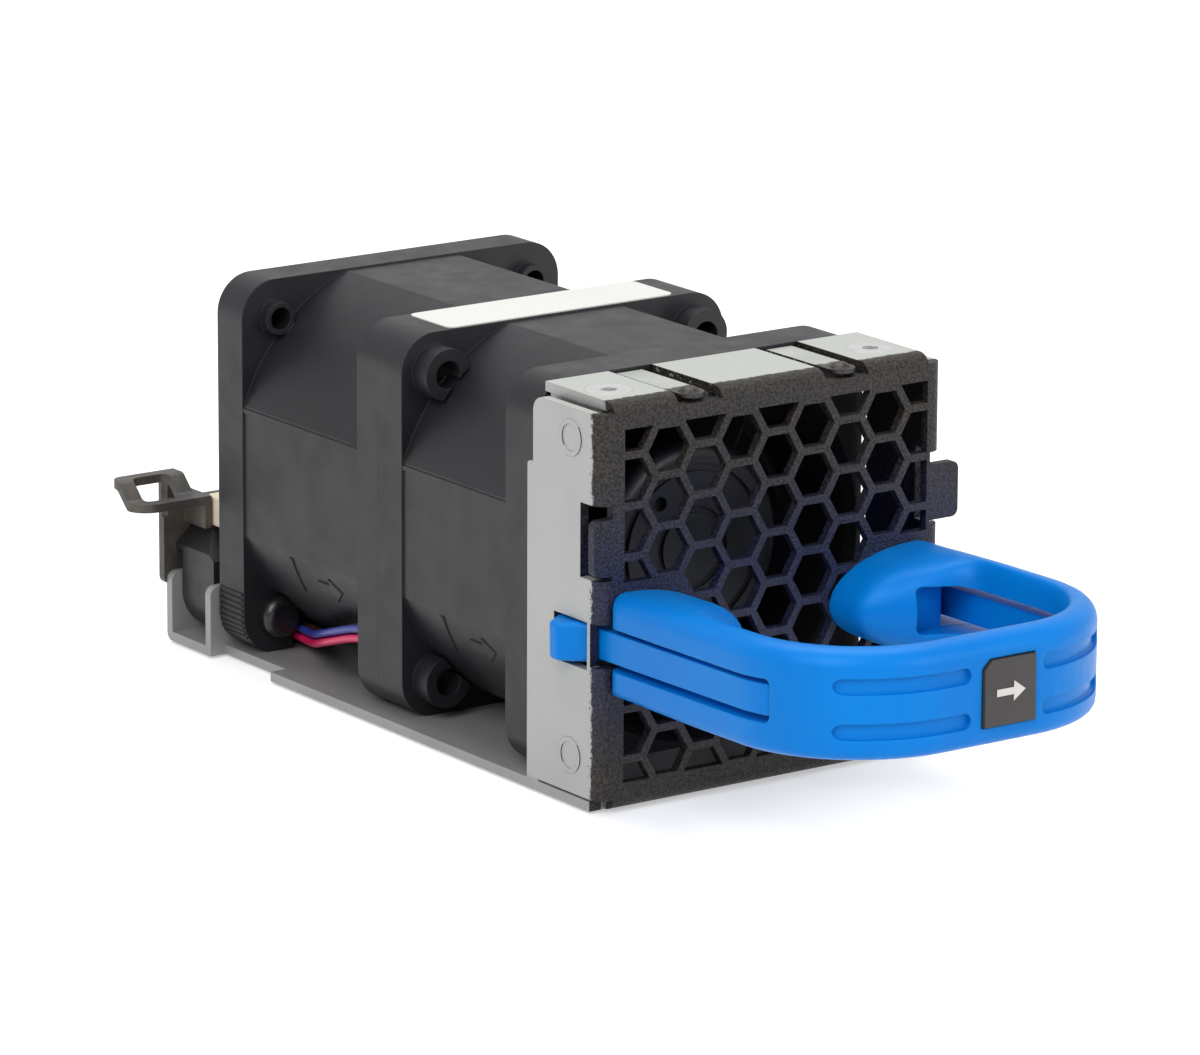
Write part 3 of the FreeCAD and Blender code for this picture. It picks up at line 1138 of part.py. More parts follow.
def make_wires():
    """Four wires of the front fan, held in the channel beside the rear barrel."""
    half = WIRE_GAP / 2
    offsets = [(sx * half, sz * half) for sx in (-1, 1) for sz in (-1, 1)]
    for colour, (dx, dz) in zip(WIRE_COLOURS, offsets):
        route = []
        for y, angle, clear in WIRE_STOPS:
            x, z = beside_barrel(angle, clear)
            route.append((x + dx, y, z + dz))
        path = rounded_path(route)
        profile = Part.Wire([Part.Circle(V(*route[0]), V(0, 1, 0), WIRE_R).toShape()])
        PARTS["wire_" + colour] = path.makePipeShell([profile], True, False)


def wire_passages():
    """Holes and notches of the fan flanges for the bundle."""
    x, z = BUNDLE_START
    x2, z2 = BUNDLE_END
    r = BUNDLE_R
    front_hole = rod(r, -FRONT_FLANGES[1] + WALL_END, REAR_FLANGES[0] + 1, x, z)
    notch = box(x2 - r, x2 + r, REAR_Y - REAR_FLANGES[1] - 1, REAR_Y + 1, 0, z2 + r)
    return [front_hole, notch]


def main():
    make_fans()
    make_tray()
    make_top_fittings()
    make_handle()
    make_connector()
    make_wires()
    for name in ("front_fan_frame", "rear_fan_frame"):
        PARTS[name] = cut(PARTS[name], wire_passages())
    os.makedirs("parts", exist_ok=True)
    for name, shape in PARTS.items():
        shape.exportStep("parts/" + name + ".step")


main()
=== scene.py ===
"""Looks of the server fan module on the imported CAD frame. Metres, same frame as the CAD."""
import math

import bmesh
import bpy
from mathutils import Matrix, Vector


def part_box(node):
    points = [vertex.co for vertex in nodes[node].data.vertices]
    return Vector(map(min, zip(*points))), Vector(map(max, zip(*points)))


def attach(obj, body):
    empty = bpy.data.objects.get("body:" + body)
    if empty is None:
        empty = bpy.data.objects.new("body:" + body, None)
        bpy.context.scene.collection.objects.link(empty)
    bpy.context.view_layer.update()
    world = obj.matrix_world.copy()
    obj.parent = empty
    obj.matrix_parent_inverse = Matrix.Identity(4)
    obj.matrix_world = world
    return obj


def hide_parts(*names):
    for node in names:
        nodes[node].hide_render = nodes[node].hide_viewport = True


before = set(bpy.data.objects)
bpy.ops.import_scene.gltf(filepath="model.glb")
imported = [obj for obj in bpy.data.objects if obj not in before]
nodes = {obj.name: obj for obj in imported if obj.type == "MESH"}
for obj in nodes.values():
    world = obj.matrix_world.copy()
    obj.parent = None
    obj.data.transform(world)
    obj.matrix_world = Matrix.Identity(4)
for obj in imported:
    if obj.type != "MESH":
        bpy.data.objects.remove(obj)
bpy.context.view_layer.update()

MM = 0.001
AXIS_Z = 21 * MM                # fan axis above the floor
BORE_R = (18.2 * MM, 18.8 * MM)     # the fan bore starts between these radii
GRAIN = 0.26 * MM               # sand grain of the coat
UPPER_Z = 30 * MM               # everything of the tray over this is its top
SHARP = math.radians(32)        # edges over this angle stay sharp
FACING = 0.7                    # share of a normal along an axis from which a face looks that way
MID = (0.3, 0.7)                # range of noise that carries most of its contrast
FLOOR_WHITE, FLOOR_GLOW = 0.82, 0.4
WORLD_LIGHT, WORLD_REFLECTED = 0.42, 0.78


# ---------------------------------------------------------------- node helpers
class Shader:
    """Builds one procedural material on the Principled shader."""

    def __init__(self, name, rough=0.5, metal=0.0, specular=0.5, edge=0.0, **sockets):
        self.mat = bpy.data.materials.new(name)
        self.mat.use_nodes = True
        self.tree = self.mat.node_tree
        self.bsdf = self.tree.nodes["Principled BSDF"]
        self.set("Roughness", rough)
        self.set("Metallic", metal)
        self.set("Specular IOR Level", specular)
        for key, value in sockets.items():
            self.set(key.replace("_", " "), value)
        self.coords = self.node("ShaderNodeTexCoord").outputs
        self.normal = None
        if edge:
            bevel = self.node("ShaderNodeBevel", samples=4)
            bevel.inputs["Radius"].default_value = edge
            self.normal = bevel.outputs[0]

    def node(self, kind, **props):
        made = self.tree.nodes.new(kind)
        for key, value in props.items():
            setattr(made, key, value)
        return made

    def set(self, socket, value):
        if hasattr(value, "is_output"):
            self.tree.links.new(value, self.bsdf.inputs[socket])
        else:
            self.bsdf.inputs[socket].default_value = value

    def feed(self, target, value):
        if hasattr(value, "is_output"):
            self.tree.links.new(value, target)
        else:
            target.default_value = value

    def noise(self, size, detail=3.0, rough=0.55, stretch=(1, 1, 1)):
        """Noise with features of about that size, in metres."""
        mapping = self.node("ShaderNodeMapping")
        mapping.inputs["Scale"].default_value = [s / size for s in stretch]
        self.tree.links.new(self.coords["Object"], mapping.inputs[0])
        tex = self.node("ShaderNodeTexNoise")
        tex.inputs["Scale"].default_value = 1.0
        tex.inputs["Detail"].default_value = detail
        tex.inputs["Roughness"].default_value = rough
        self.tree.links.new(mapping.outputs[0], tex.inputs["Vector"])
        return tex.outputs["Fac"]

    def axis(self, letter, source="Object"):
        split = self.node("ShaderNodeSeparateXYZ")
        self.tree.links.new(self.coords[source], split.inputs[0])
        return split.outputs[letter]

    def math(self, operation, *values):
        made = self.node("ShaderNodeMath", operation=operation)
        for socket, value in zip(made.inputs, values):
            self.feed(socket, value)
        return made.outputs[0]

    def above(self, value, limit):
        """1 where the value is over the limit, 0 elsewhere; a mask."""
        return self.math("GREATER_THAN", value, limit)

    def below(self, value, limit):
        return self.math("LESS_THAN", value, limit)

    def both(self, one, other):
        return self.math("MULTIPLY", one, other)

    def without(self, mask, other):
        """The mask where the other one is 0."""
        return self.both(mask, self.math("SUBTRACT", 1.0, other))

    def size(self, value):
        return self.math("ABSOLUTE", value)

    def spread(self, noise, low, high):
        """Noise stretched over a range of numbers."""
        return self.ramp(noise, *MID, low, high)

    def blend(self, noise, one, other):
        """Two colours mixed by noise."""
        return self.mix(self.ramp(noise, *MID), one, other)

    def ramp(self, value, low, high, out_low=0.0, out_high=1.0):
        made = self.node("ShaderNodeMapRange")
        for socket, number in zip(made.inputs, (value, low, high, out_low, out_high)):
            self.feed(socket, number)
        return made.outputs[0]

    def mix(self, factor, a, b):
        made = self.node("ShaderNodeMix", data_type="RGBA")
        self.feed(made.inputs["Factor"], factor)
        for socket, value in ((made.inputs[6], a), (made.inputs[7], b)):
            self.feed(socket, value if hasattr(value, "is_output") else (*value, 1.0))
        return made.outputs[2]

    def bump(self, height, distance, strength=1.0):
        made = self.node("ShaderNodeBump")
        made.inputs["Distance"].default_value = distance
        made.inputs["Strength"].default_value = strength
        self.tree.links.new(height, made.inputs["Height"])
        if self.normal is not None:
            self.tree.links.new(self.normal, made.inputs["Normal"])
        self.normal = made.outputs[0]

    def done(self):
        if self.normal is not None:
            self.tree.links.new(self.normal, self.bsdf.inputs["Normal"])
        return self.mat


def linear(red, green, blue):
    """Screen colour to the scene's linear colour."""
    def one(v):
        v = v / 255
        return v / 12.92 if v <= 0.04045 else ((v + 0.055) / 1.055) ** 2.4
    return one(red), one(green), one(blue)


def moulded(name, colour, rough=0.45, grain=0.25 * MM, depth=0.012 * MM, vary=0.18, edge=0.12 * MM):
    """Injection-moulded plastic: fine spark texture, faint flow marks, uneven sheen."""
    s = Shader(name, rough, edge=edge)
    dark, light = (tuple(c * (1 + share) for c in colour) for share in (-vary, vary))
    s.set("Base Color", s.blend(s.noise(9 * MM, 4, stretch=(1, 0.4, 1)), dark, light))
    s.set("Roughness", s.spread(s.noise(3 * MM, 3), rough - 0.05, rough + 0.07))
    s.bump(s.noise(grain, 2), depth, 0.6)
    s.bump(s.noise(6 * MM, 2), 0.05 * MM, 0.15)
    return s.done()


def fan_material():
    """Black glass-filled plastic; its bore is darker, for the deep shade in the photo."""
    s = Shader("fan_plastic", 0.42, specular=0.38, edge=0.15 * MM)
    across, up = s.axis("X"), s.math("SUBTRACT", s.axis("Z"), AXIS_Z)
    radius = s.math("SQRT", s.math("ADD", s.both(across, across), s.both(up, up)))
    bore = s.ramp(radius, *BORE_R, 1.0, 0.0)
    flow = s.noise(9 * MM, 4, stretch=(1, 0.4, 1))
    shell = s.blend(flow, linear(23, 24, 27), linear(29, 30, 34))
    s.set("Base Color", s.mix(bore, shell, linear(14, 16, 24)))
    s.set("Roughness", s.spread(s.noise(3 * MM, 3), 0.37, 0.49))
    s.bump(s.noise(0.25 * MM, 2), 0.014 * MM, 0.7)
    s.bump(s.noise(6 * MM, 2), 0.05 * MM, 0.15)
    return s.done()


def metal_sheet(name, colour, rough, metal=0.85):
    """Plain plated or ground steel with fine marks."""
    s = Shader(name, rough, metal, edge=0.08 * MM)
    s.set("Base Color", s.blend(s.noise(1.2 * MM, 4), tuple(c * 0.86 for c in colour), colour))
    s.set("Roughness", s.spread(s.noise(0.8 * MM, 3), rough - 0.06, rough + 0.08))
    s.bump(s.noise(0.2 * MM, 2), 0.01 * MM, 0.4)
    return s.done()


# ---------------------------------------------------------------- places read from the CAD
tray_low, tray_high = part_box("faceplate_tray")
face_y = tray_low.y
top_z = tray_high.z


# ---------------------------------------------------------------- tray: coat at the face, zinc behind
def coat_layer(s, grain):
    """Sand-grained brown-black coat; its navy cast stands for the light off the blue handle."""
    contrast = (0.4, 0.62)
    warm = s.mix(s.ramp(grain, *contrast), linear(6, 5, 5), linear(56, 50, 45))
    navy = s.mix(s.ramp(grain, *contrast), linear(4, 6, 17), linear(33, 37, 72))
    from_handle = s.size(s.math("SUBTRACT", s.axis("Z"), 19 * MM))
    return s.mix(s.ramp(from_handle, 4 * MM, 15 * MM, 1.0, 0.0), warm, navy)


def past_line(s, y, line, ragged, swing, soft):
    """Mask of what lies behind a wandering line at that depth from the front."""
    wander = s.ramp(s.noise(ragged, 4, 0.7), 0.25, 0.75, -swing, swing)
    return s.ramp(s.math("SUBTRACT", s.math("ADD", y, wander), line), -soft, soft)


def bare_metal(s, x, y, z):
    """Mask of the tray that shows bare zinc; the coat covers the rest, and so does painted shade inside
    the walls and under the top.
    """
    normal_x, normal_z = s.axis("X", "Normal"), s.axis("Z", "Normal")
    # the coat ends a little behind the face, in a wandering line with specks past it
    line = s.ramp(z, top_z - 1.6 * MM, top_z - 0.2 * MM, face_y + 1.25 * MM, face_y + 1.9 * MM)
    bare = past_line(s, y, line, 1.0 * MM, 0.3 * MM, 0.1 * MM)
    thinning = s.ramp(y, face_y + 1.2 * MM, face_y + 2.8 * MM, 0.58, 0.8)
    bare = s.without(bare, s.above(s.noise(0.28 * MM, 2), thinning))

    # patches of coat stay on the cut edges of the top slots
    faces_side = s.above(s.size(normal_x), FACING)
    slot_edges = s.both(faces_side, s.above(z, top_z - 1.3 * MM))
    slot_edges = s.both(slot_edges, s.below(s.size(x), 18.6 * MM))
    bare = s.without(bare, s.both(slot_edges, s.above(s.noise(0.4 * MM, 3), 0.36)))

    # the cut edges of the side windows are coated near the face
    faces_along = s.math("ADD", faces_side, s.above(s.size(normal_z), FACING))
    window_edges = s.both(s.below(faces_along, 0.5), s.below(y, face_y + 9 * MM))
    bare = s.without(bare, s.both(s.above(s.size(x), 19.6 * MM), window_edges))

    # painted shade: the inside of the walls and the underside of the top get the dark coat colour
    # instead of zinc
    faces_in = s.below(s.both(x, normal_x), -FACING * 15 * MM)
    underside = s.both(s.below(normal_z, -FACING), s.above(z, UPPER_Z))
    inside = s.both(s.math("MAXIMUM", faces_in, underside), s.above(z, 1.4 * MM))
    return s.without(bare, inside)


def tray_material():
    """Coat at the face; zinc behind, with painted shade making it darker on the floor and at the rear,
    and painted light making upward faces on top lightest.
    """
    s = Shader("tray_sheet", 0.5, specular=0.34, edge=0.12 * MM)
    x, y, z = (s.axis(letter) for letter in "XYZ")
    bare = bare_metal(s, x, y, z)
    cloud = s.noise(9 * MM, 4)
    sides = s.blend(cloud, linear(166, 167, 166), linear(174, 175, 173))
    floor = s.blend(cloud, linear(148, 148, 147), linear(158, 158, 157))
    # painted shade: the zinc on the floor and at the rear gets a darker colour
    low, rear = s.ramp(z, 1.15 * MM, 1.35 * MM, 1.0, 0.0), s.ramp(y, 10 * MM, 11 * MM)
    sheet = s.mix(s.math("MAXIMUM", low, rear), sides, floor)
    # painted light: faces of the top that look upward get a lighter colour, as if lit from above
    upward = s.both(s.above(s.axis("Z", "Normal"), FACING), s.above(z, UPPER_Z))
    sheet = s.mix(upward, sheet, linear(186, 189, 184))
    grain = s.noise(GRAIN, 2, 0.5)
    s.set("Base Color", s.mix(bare, coat_layer(s, grain), sheet))
    s.set("Metallic", s.both(bare, 0.3))
    s.set("Roughness", s.ramp(bare, 0, 1, 0.5, 0.42))
    s.bump(s.without(grain, bare), 0.16 * MM)
    s.bump(s.noise(0.5 * MM, 3, stretch=(0.3, 1, 1)), 0.01 * MM, 0.2)
    return s.done()


def spring_material():
    """Bare strip with the coat on its front end and its edges."""
    s = Shader("spring_leaf", 0.4, edge=0.06 * MM)
    bare = past_line(s, s.axis("Y"), face_y + 3.6 * MM, 0.9 * MM, 0.5 * MM, 0.1 * MM)
    flat = s.above(s.size(s.axis("Z", "Normal")), 0.6)
    bare = s.both(bare, s.math("MAXIMUM", flat, s.below(s.noise(0.4 * MM, 3), 0.42)))
    steel = s.blend(s.noise(4 * MM, 3), linear(176, 179, 174), linear(192, 195, 189))
    grain = s.noise(GRAIN, 2, 0.5)
    s.set("Base Color", s.mix(bare, coat_layer(s, grain), steel))
    s.set("Metallic", s.both(bare, 0.4))
    s.bump(s.without(grain, bare), 0.06 * MM, 0.7)
    return s.done()


def handle_material():
    """Translucent blue plastic with a soft sheen."""
    s = Shader("handle_blue", 0.4, specular=0.4, edge=0.25 * MM, Subsurface_Weight=0.4,
               Subsurface_Scale=1.6 * MM)
    s.set("Specular Tint", (0.3, 0.72, 1.0, 1.0))
    s.set("Subsurface Radius", (0.1, 0.5, 1.0))
    s.set("Base Color", s.blend(s.noise(14 * MM, 3), linear(0, 115, 202), linear(0, 124, 210)))
    s.set("Roughness", s.spread(s.noise(2.5 * MM, 3), 0.36, 0.44))
    s.bump(s.noise(0.22 * MM, 2), 0.008 * MM, 0.5)
    s.bump(s.noise(7 * MM, 2), 0.05 * MM, 0.15)
    return s.done()


def wire_material(name, colour):
    """Glossy wire insulation."""
    s = Shader(name, 0.34, specular=0.6)
    s.set("Base Color", s.blend(s.noise(2 * MM, 2), tuple(c * 0.8 for c in colour), colour))
    s.bump(s.noise(0.5 * MM, 2), 0.01 * MM, 0.4)
    return s.done()


def guide_material():
    """Dark coated sheet with brownish worn patches."""
    s = Shader("guide_sheet", 0.45, edge=0.12 * MM)
    worn = s.ramp(s.noise(3 * MM, 4), 0.42, 0.62)
    s.set("Base Color", s.mix(worn, linear(58, 56, 55), linear(80, 73, 66)))
    s.bump(s.noise(0.2 * MM, 2), 0.015 * MM, 0.5)
    return s.done()


def coil_material():
    """Copper with its turns as fine bands."""
    s = Shader("copper_wire", 0.35, 0.9)
    wave = s.node("ShaderNodeTexWave", wave_type="BANDS", bands_direction="Y")
    wave.inputs["Scale"].default_value = 900
    s.tree.links.new(s.coords["Object"], wave.inputs[0])
    s.set("Base Color", s.mix(wave.outputs["Fac"], (0.3, 0.11, 0.04), (0.62, 0.28, 0.12)))
    s.bump(wave.outputs["Fac"], 0.05 * MM, 0.7)
    return s.done()


looks = {
    "faceplate_tray": tray_material(),
    "left_ground_spring": spring_material(),
    "handle": handle_material(),
    "front_fan_frame": fan_material(),
    "front_rotor": moulded("rotor_plastic", linear(18, 20, 28), 0.4, vary=0.15),
    "top_screws": metal_sheet("screw_zinc", linear(214, 215, 214), 0.24, 0.6),
    "spring_strap": metal_sheet("strap_steel", linear(150, 152, 150), 0.4, 0.7),
    "handle_badge": moulded("badge_grey", linear(56, 53, 52), 0.6, 0.18 * MM, 0.03 * MM, 0.1),
    "fan_label": moulded("label_paper", linear(222, 221, 218), 0.55, 0.3 * MM, 0.004 * MM, 0.02, 0.0),
    "handle_screws": metal_sheet("ground_steel", linear(190, 190, 190), 0.3),
    "front_magnet": moulded("magnet_ferrite", linear(52, 52, 54), 0.6),
    "front_stator": metal_sheet("core_steel", linear(130, 130, 134), 0.45),
    "front_coils": coil_material(),
    "front_board": moulded("circuit_board", linear(18, 92, 48), 0.35),
    "connector_housing": moulded("connector_black", linear(30, 30, 33), 0.42),
    "connector_contacts": metal_sheet("contact_gold", (0.83, 0.6, 0.2), 0.25),
    "rear_guide": guide_material(),
    "fan_plug": moulded("plug_cream", linear(226, 214, 192), 0.5),
    "push_rivets": moulded("rivet_black", linear(22, 22, 24), 0.25),
    "wire_red": wire_material("wire_red", linear(214, 30, 92)),
    "wire_blue": wire_material("wire_blue", linear(52, 62, 150)),
    "wire_black": wire_material("wire_black", linear(26, 26, 28)),
    "wire_brown": wire_material("wire_brown", linear(70, 44, 34)),
}
same = {
    "rear_fan_frame": "front_fan_frame", "rear_rotor": "front_rotor", "rear_magnet": "front_magnet",
    "rear_stator": "front_stator", "rear_coils": "front_coils", "rear_board": "front_board",
    "right_ground_spring": "left_ground_spring", "left_latch": "handle", "right_latch": "handle",
    "front_shaft": "handle_screws", "rear_shaft": "handle_screws", "front_bearings": "handle_screws",
    "rear_bearings": "handle_screws",
}
for name, obj in nodes.items():
    obj.data.materials.clear()
    obj.data.materials.append(looks[same.get(name, name)])
    obj.data.shade_smooth()
    obj.data.set_sharp_from_angle(angle=SHARP)


# ---------------------------------------------------------------- bodies from outlines, in millimetres
def loft(name, rings):
    """Closed body through rings of equally many points, flat at both ends."""
    mesh = bpy.data.meshes.new(name)
    bm = bmesh.new()
    loops = [[bm.verts.new([c * MM for c in point]) for point in points] for points in rings]
    count = len(loops[0])
    for a, b in zip(loops, loops[1:]):
        for i in range(count):
            j = (i + 1) % count
            bm.faces.new((a[i], a[j], b[j], b[i]))
    bm.faces.new(loops[0][::-1])
    bm.faces.new(loops[-1])
    bmesh.ops.recalc_face_normals(bm, faces=bm.faces)
    bm.to_mesh(mesh)
    bm.free()
    return add_object(name, mesh)


def add_object(name, data):
    obj = bpy.data.objects.new(name, data)
    bpy.context.scene.collection.objects.link(obj)
    return obj


def along_y(name, outline, near, far):
    """Prism with an outline of (x, z) pairs between two depths."""
    return loft(name, [[(x, y, z) for x, z in outline] for y in (near, far)])


def rounded(low, high, radius):
    """Rectangle with round corners between two opposite corners."""
    left, right = low[0] + radius, high[0] - radius
    bottom, top = low[1] + radius, high[1] - radius
    points = []
    for x, y, start in ((right, top, 0), (left, top, 90), (left, bottom, 180), (right, bottom, 270)):
        for i in range(CORNER_STEPS + 1):
            angle = math.radians(start + 90 / CORNER_STEPS * i)
            points.append((x + radius * math.cos(angle), y + radius * math.sin(angle)))
    return points


def circle(x, y, radius, count=32):
    turns = (2 * math.pi * i / count for i in range(count))
    return [(x + radius * math.cos(t), y + radius * math.sin(t)) for t in turns]


# ---------------------------------------------------------------- the handle, in millimetres
HALF_W, FRONT, FACE = 19.9, -75.3, -40.0
CORNER_R, MID_Z = 14.3, 17.5
CORNER_X, CORNER_Y = HALF_W - CORNER_R, FRONT + CORNER_R
LEAN = math.tan(math.radians(0.9))      # the handle drops by this share towards the face
TOP_R, BOTTOM_R = 2.0, 1.1              # roundings along the outside
END_ROUND = 1.1                         # rounding of the outside where the arms meet the face
CORNER_STEPS = 5
BEND_STEPS = 14
INNER_STEPS = 24
# distance from the face, thickness inwards, power of the inner rounding, half height
PROFILE = (
    (0.0, 12.9, 2.0, 5.15), (4.2, 12.9, 2.0, 5.2), (5.0, 12.65, 2.0, 5.22), (5.6, 12.15, 2.0, 5.25),
    (6.6, 10.9, 2.0, 5.28), (7.8, 9.2, 2.0, 5.3), (8.7, 7.8, 2.0, 5.32), (9.3, 6.3, 2.0, 5.33),
    (10.0, 4.9, 2.0, 5.34), (10.8, 3.9, 2.0, 5.36), (12.0, 3.3, 2.1, 5.38), (14.0, 3.2, 2.4, 5.4),
    (18.0, 3.2, 2.6, 5.4), (22.0, 3.25, 2.9, 5.4),
)
DEPTHS = (0, 0.12, 0.35, 0.8, 1.5, 2.6, 3.6, 4.2, 4.7, 5.1, 5.5, 6.0, 6.6, 7.2, 7.8, 8.3, 8.8, 9.3, 9.8,
          10.3, 10.9, 11.6, 12.6, 14, 15.5, 17, 19)
INNER_START = 0.1                       # the inner rounding starts this far past the outer ones
WINDOW_Y, WINDOW_R = (-65.3, -48.7), 0.7
OUTER_X, OUTER_GAP = 21, (-2.5, 1.65)   # foot and top of the window, past the outside of the arm
INNER_X, INNER_GAP = 15.5, (-2.05, 2.8)     # the same inside the arm
WINDOW_END_X = 3.5
HOLLOW_X, HOLLOW_R, HOLLOW_Y = 11.6, 0.8, (-50.3, FACE - 6.6)
CHANNEL_X, CHANNEL_Y = 15.9, (-47.5, FACE + 1)
POST_X, POST_Y, POST_R, POST_Z = 18.38, -64.3, 1.06, (-1.66, 1.46)      # socket of the latch root
GROOVE_HALF, GROOVE_DEEP, GROOVE_STEPS = 0.8, 0.55, 30
GROOVE_HEIGHTS, GROOVE_SPANS = (1.95, -2.5), ((-16.0, -2.85), (5.75, 17.0))
TILE_X, TILE_DROP, TILE_HALF_W, TILE_HALF_H, TILE_CHAMFER, TILE_DEEP = 1.6, 0.15, 3.2, 3.4, 0.9, 0.6


def profile(depth):
    """Thickness, power and half height at that distance from the face."""
    for near, far in zip(PROFILE, PROFILE[1:]):
        if depth <= far[0]:
            share = (depth - near[0]) / (far[0] - near[0])
            return [a + (b - a) * share for a, b in zip(near[1:], far[1:])]
    return PROFILE[-1][1:]


def section(depth):
    """Outline of the handle as (inwards, up) pairs, the distance from the face given."""
    reach, power, half = profile(depth)
    quarter = [math.radians(90 * i / CORNER_STEPS) for i in range(CORNER_STEPS + 1)]
    pairs = [(TOP_R * (1 - math.cos(t)), half - TOP_R + TOP_R * math.sin(t)) for t in quarter]
    for i in range(INNER_STEPS + 1):
        angle = math.radians(90 - 180 / INNER_STEPS * i)
        start = (TOP_R if angle >= 0 else BOTTOM_R) + INNER_START
        across = max(math.cos(angle), 0.0) ** (2 / power)
        rise = math.copysign(abs(math.sin(angle)) ** (2 / power), angle)
        pairs.append((start + (reach - start) * across, half * rise))
    for t in reversed(quarter):
        pairs.append((BOTTOM_R * (1 - math.cos(t)), BOTTOM_R - half - BOTTOM_R * math.sin(t)))
    if depth < END_ROUND:
        gap = END_ROUND * (1 - math.sqrt(1 - (1 - depth / END_ROUND) ** 2))
        pairs = [(max(u, gap), z) for u, z in pairs]
    return pairs


def ring(point, inward, pairs, mid=MID_Z):
    """Section placed at a point of the outside."""
    return [(point[0] + inward[0] * u, point[1] + inward[1] * u, mid + z) for u, z in pairs]


def handle_rings():
    """Sections from the right foot round the grip to the left foot."""
    stations = [((HALF_W, FACE - depth), (-1, 0), section(depth)) for depth in DEPTHS]
    for i in range(BEND_STEPS + 1):
        angle = math.radians(90 * i / BEND_STEPS)
        point = (CORNER_X + CORNER_R * math.cos(angle), CORNER_Y - CORNER_R * math.sin(angle))
        stations.append((point, (-math.cos(angle), math.sin(angle)), section(FACE - point[1])))
    mirrored = [((-p[0], p[1]), (-n[0], n[1]), pairs) for p, n, pairs in reversed(stations)]
    return [ring(*station) for station in stations + mirrored]


def on_bend(x):
    """Point on the outside of the grip at x, and the direction inwards."""
    side = math.copysign(1, x)
    if abs(x) <= CORNER_X:
        return (x, FRONT), (0, 1)
    angle = math.asin(min((abs(x) - CORNER_X) / CORNER_R, 1))
    point = (side * (CORNER_X + CORNER_R * math.sin(angle)), CORNER_Y - CORNER_R * math.cos(angle))
    return point, (-side * math.sin(angle), math.cos(angle))


def grip_groove(x0, x1, height):
    """Cutter for one groove with round ends round the bend."""
    rings = []
    for i in range(GROOVE_STEPS + 1):
        share = (1 - math.cos(math.pi * i / GROOVE_STEPS)) / 2
        x = x0 + (x1 - x0) * share
        edge = min(max(min(x - x0, x1 - x), 0), GROOVE_HALF)
        tall = max(math.sqrt(GROOVE_HALF ** 2 - (GROOVE_HALF - edge) ** 2), 0.1)
        wall = GROOVE_DEEP * 0.6
        pairs = [(-1, -tall), (wall, -tall), (GROOVE_DEEP, -tall * 0.8), (GROOVE_DEEP, tall * 0.8),
                 (wall, tall), (-1, tall)]
        rings.append(ring(*on_bend(x), pairs, MID_Z + height))
    return loft("groove", rings)


def arm_cutters(side):
    """Window, hollow foot, latch channel and latch socket of one arm."""
    rings = []
    for x, (low, high) in ((OUTER_X, OUTER_GAP), (INNER_X, INNER_GAP), (WINDOW_END_X, INNER_GAP)):
        outline = rounded((WINDOW_Y[0], MID_Z + low), (WINDOW_Y[1], MID_Z + high), WINDOW_R)
        rings.append([(side * x, y, z) for y, z in outline])
    inner = rounded((HOLLOW_X, INNER_GAP[0]), (INNER_X, INNER_GAP[1]), HOLLOW_R)
    inner = [pair for pair in inner if pair[0] < (HOLLOW_X + INNER_X) / 2]
    mouth = [(OUTER_X, OUTER_GAP[1]), (OUTER_X, OUTER_GAP[0])]
    hollow = [mouth[0], (INNER_X, INNER_GAP[1]), *inner, (INNER_X, INNER_GAP[0]), mouth[1]]
    channel = [mouth[0], (CHANNEL_X, INNER_GAP[1]), (CHANNEL_X, INNER_GAP[0]), mouth[1]]
    hollow, channel = ([(side * x, MID_Z + z) for x, z in outline] for outline in (hollow, channel))
    post = circle(side * POST_X, POST_Y, POST_R)
    return [
        loft("window", rings),
        along_y("hollow", hollow, *HOLLOW_Y),
        along_y("channel", channel, *CHANNEL_Y),
        loft("post", [[(x, y, MID_Z + z) for x, y in post] for z in POST_Z]),
    ]


def carved(body, tools):
    """Mesh of the body with the tools cut out of it; body and tools are used up."""
    for tool in tools:
        cut = body.modifiers.new("cut", "BOOLEAN")
        cut.operation = "DIFFERENCE"
        cut.solver = "EXACT"
        cut.object = tool
    graph = bpy.context.evaluated_depsgraph_get()
    mesh = bpy.data.meshes.new_from_object(body.evaluated_get(graph))
    for obj in tools + [body]:
        bpy.data.objects.remove(obj)
    return mesh


def handle_shell():
    """Grip, arms and feet in one smooth body with its windows, grooves and tile recess."""
    tools = arm_cutters(-1) + arm_cutters(1)
    tools += [grip_groove(*span, height) for height in GROOVE_HEIGHTS for span in GROOVE_SPANS]
    w, h = TILE_HALF_W, TILE_HALF_H
    recess = [(-w, -h), (w, -h), (w, h), (TILE_CHAMFER - w, h), (-w, h - TILE_CHAMFER)]
    recess = [(TILE_X + u, MID_Z - TILE_DROP + v) for u, v in recess]
    tools.append(along_y("recess", recess, FRONT - 1, FRONT + TILE_DEEP))
    mesh = carved(loft("handle_body", handle_rings()), tools)
    for vert in mesh.vertices:
        vert.co.z -= (vert.co.y - FRONT * MM) * LEAN
    mesh.materials.clear()
    mesh.materials.append(looks["handle"])
    mesh.shade_smooth()
    mesh.set_sharp_from_angle(angle=SHARP)
    piece = add_object("handle_shell", mesh)
    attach(piece, "module")
    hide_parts("handle")


def badge_arrow():
    """Plain arrow printed on the tile."""
    outline = [(-1.7, -0.35), (0.35, -0.35), (0.35, -1.0), (1.75, 0.0), (0.35, 1.0), (0.35, 0.35),
               (-1.7, 0.35)]
    low, high = (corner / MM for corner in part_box("handle_badge"))
    middle = (low + high) / 2
    outline = [(middle.x + u, middle.z + v) for u, v in outline]
    piece = along_y("badge_arrow", outline, low.y, low.y - 0.03)
    ink = moulded("badge_print", linear(205, 203, 198), 0.6, 0.15 * MM, 0.004 * MM, 0.05, 0.0)
    piece.data.materials.append(ink)
    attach(piece, "module")


handle_shell()
badge_arrow()


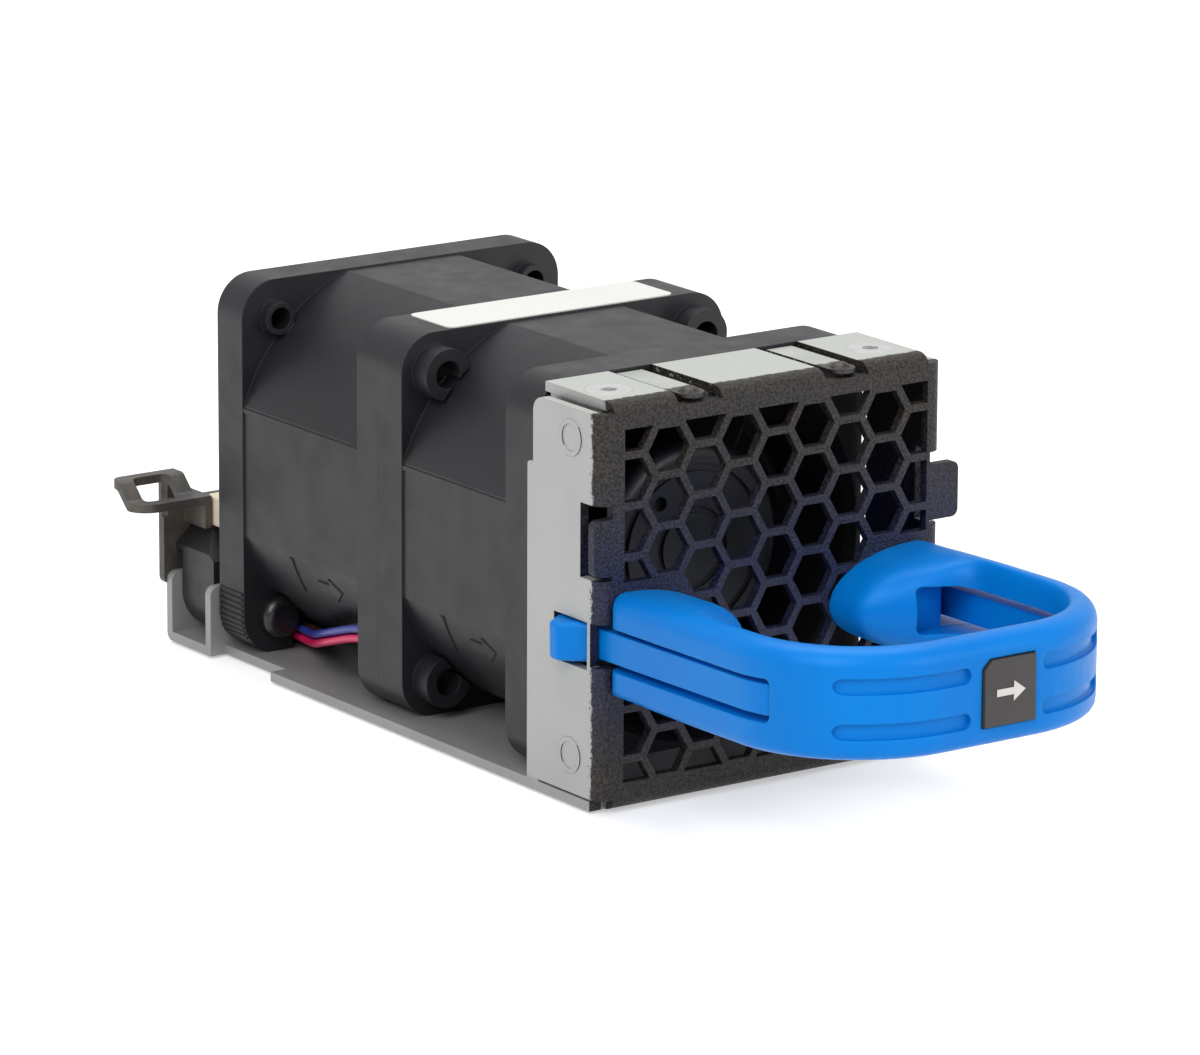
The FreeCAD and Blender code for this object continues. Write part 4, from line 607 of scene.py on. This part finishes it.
# ---------------------------------------------------------------- stage, light and camera
def stage_floor():
    """White floor that shows white to the camera and in reflections, and takes the shadow."""
    mat = bpy.data.materials.new("stage_white")
    mat.use_nodes = True
    nodes_of, link = mat.node_tree.nodes, mat.node_tree.links.new
    nodes_of.clear()
    out, diffuse, glow, path, seen, total, add = (nodes_of.new("ShaderNode" + kind) for kind in (
        "OutputMaterial", "BsdfDiffuse", "Emission", "LightPath", "Math", "Math", "AddShader"))
    diffuse.inputs["Color"].default_value = (FLOOR_WHITE, FLOOR_WHITE, FLOOR_WHITE, 1)
    seen.operation = "MAXIMUM"
    link(path.outputs["Is Camera Ray"], seen.inputs[0])
    link(path.outputs["Is Glossy Ray"], seen.inputs[1])
    total.operation = "MULTIPLY"
    link(seen.outputs[0], total.inputs[0])
    total.inputs[1].default_value = FLOOR_GLOW
    link(total.outputs[0], glow.inputs["Strength"])
    link(diffuse.outputs[0], add.inputs[0])
    link(glow.outputs[0], add.inputs[1])
    link(add.outputs[0], out.inputs[0])
    bpy.ops.mesh.primitive_plane_add(size=12.0, location=(0, 0, -0.0003))
    floor = bpy.context.active_object
    floor.name = "stage_floor"
    floor.data.materials.append(mat)


def studio():
    """White surroundings, brighter in reflections than as light."""
    world = bpy.data.worlds.new("studio")
    bpy.context.scene.world = world
    world.use_nodes = True
    tree = world.node_tree
    background = tree.nodes["Background"]
    background.inputs["Color"].default_value = (1, 1, 1, 1)
    ray = tree.nodes.new("ShaderNodeLightPath")
    level = tree.nodes.new("ShaderNodeMapRange")
    level.inputs["To Min"].default_value = WORLD_LIGHT
    level.inputs["To Max"].default_value = WORLD_REFLECTED
    tree.links.new(ray.outputs["Is Glossy Ray"], level.inputs["Value"])
    tree.links.new(level.outputs[0], background.inputs["Strength"])


def lamp(name, place, target, size, power):
    """Rectangular lamp pointed at the target."""
    data = bpy.data.lights.new(name, "AREA")
    data.shape = "RECTANGLE"
    data.size, data.size_y = size
    data.energy = power
    obj = add_object(name, data)
    obj.location = place
    obj.rotation_euler = (Vector(target) - Vector(place)).to_track_quat("-Z", "Y").to_euler()


def camera(place, azimuth, elevation, roll, lens):
    """Camera at a place; its backward direction is given by azimuth and elevation in degrees."""
    azimuth, elevation, roll = (math.radians(a) for a in (azimuth, elevation, roll))
    level = math.cos(elevation)
    back = Vector((math.sin(azimuth) * level, -math.cos(azimuth) * level, math.sin(elevation)))
    right = Vector((math.cos(azimuth), math.sin(azimuth), 0))
    up = back.cross(right)
    across = right * math.cos(roll) + up * math.sin(roll)
    upward = up * math.cos(roll) - right * math.sin(roll)
    data = bpy.data.cameras.new("camera")
    data.sensor_width = 36.0
    data.lens = lens
    data.clip_start = 0.01
    data.clip_end = 50
    obj = add_object("camera", data)
    rotation = Matrix((across, upward, back)).transposed().to_4x4()
    obj.matrix_world = Matrix.Translation(place) @ rotation
    bpy.context.scene.camera = obj


stage_floor()
studio()
lamp("key", (-0.55, -0.35, 0.55), (0, 0, 0.02), (0.5, 0.5), 3.6)
lamp("front", (0.25, -0.8, 0.35), (0, -0.02, 0.02), (0.5, 0.4), 2.6)
lamp("top", (0.1, 0.15, 0.8), (0, 0, 0.02), (0.6, 0.6), 3.4)
camera((-0.41103, -0.58845, 0.20229), azimuth=-35.423, elevation=14.437, roll=0.283, lens=215.88)
bpy.context.scene.view_settings.view_transform = "Standard"
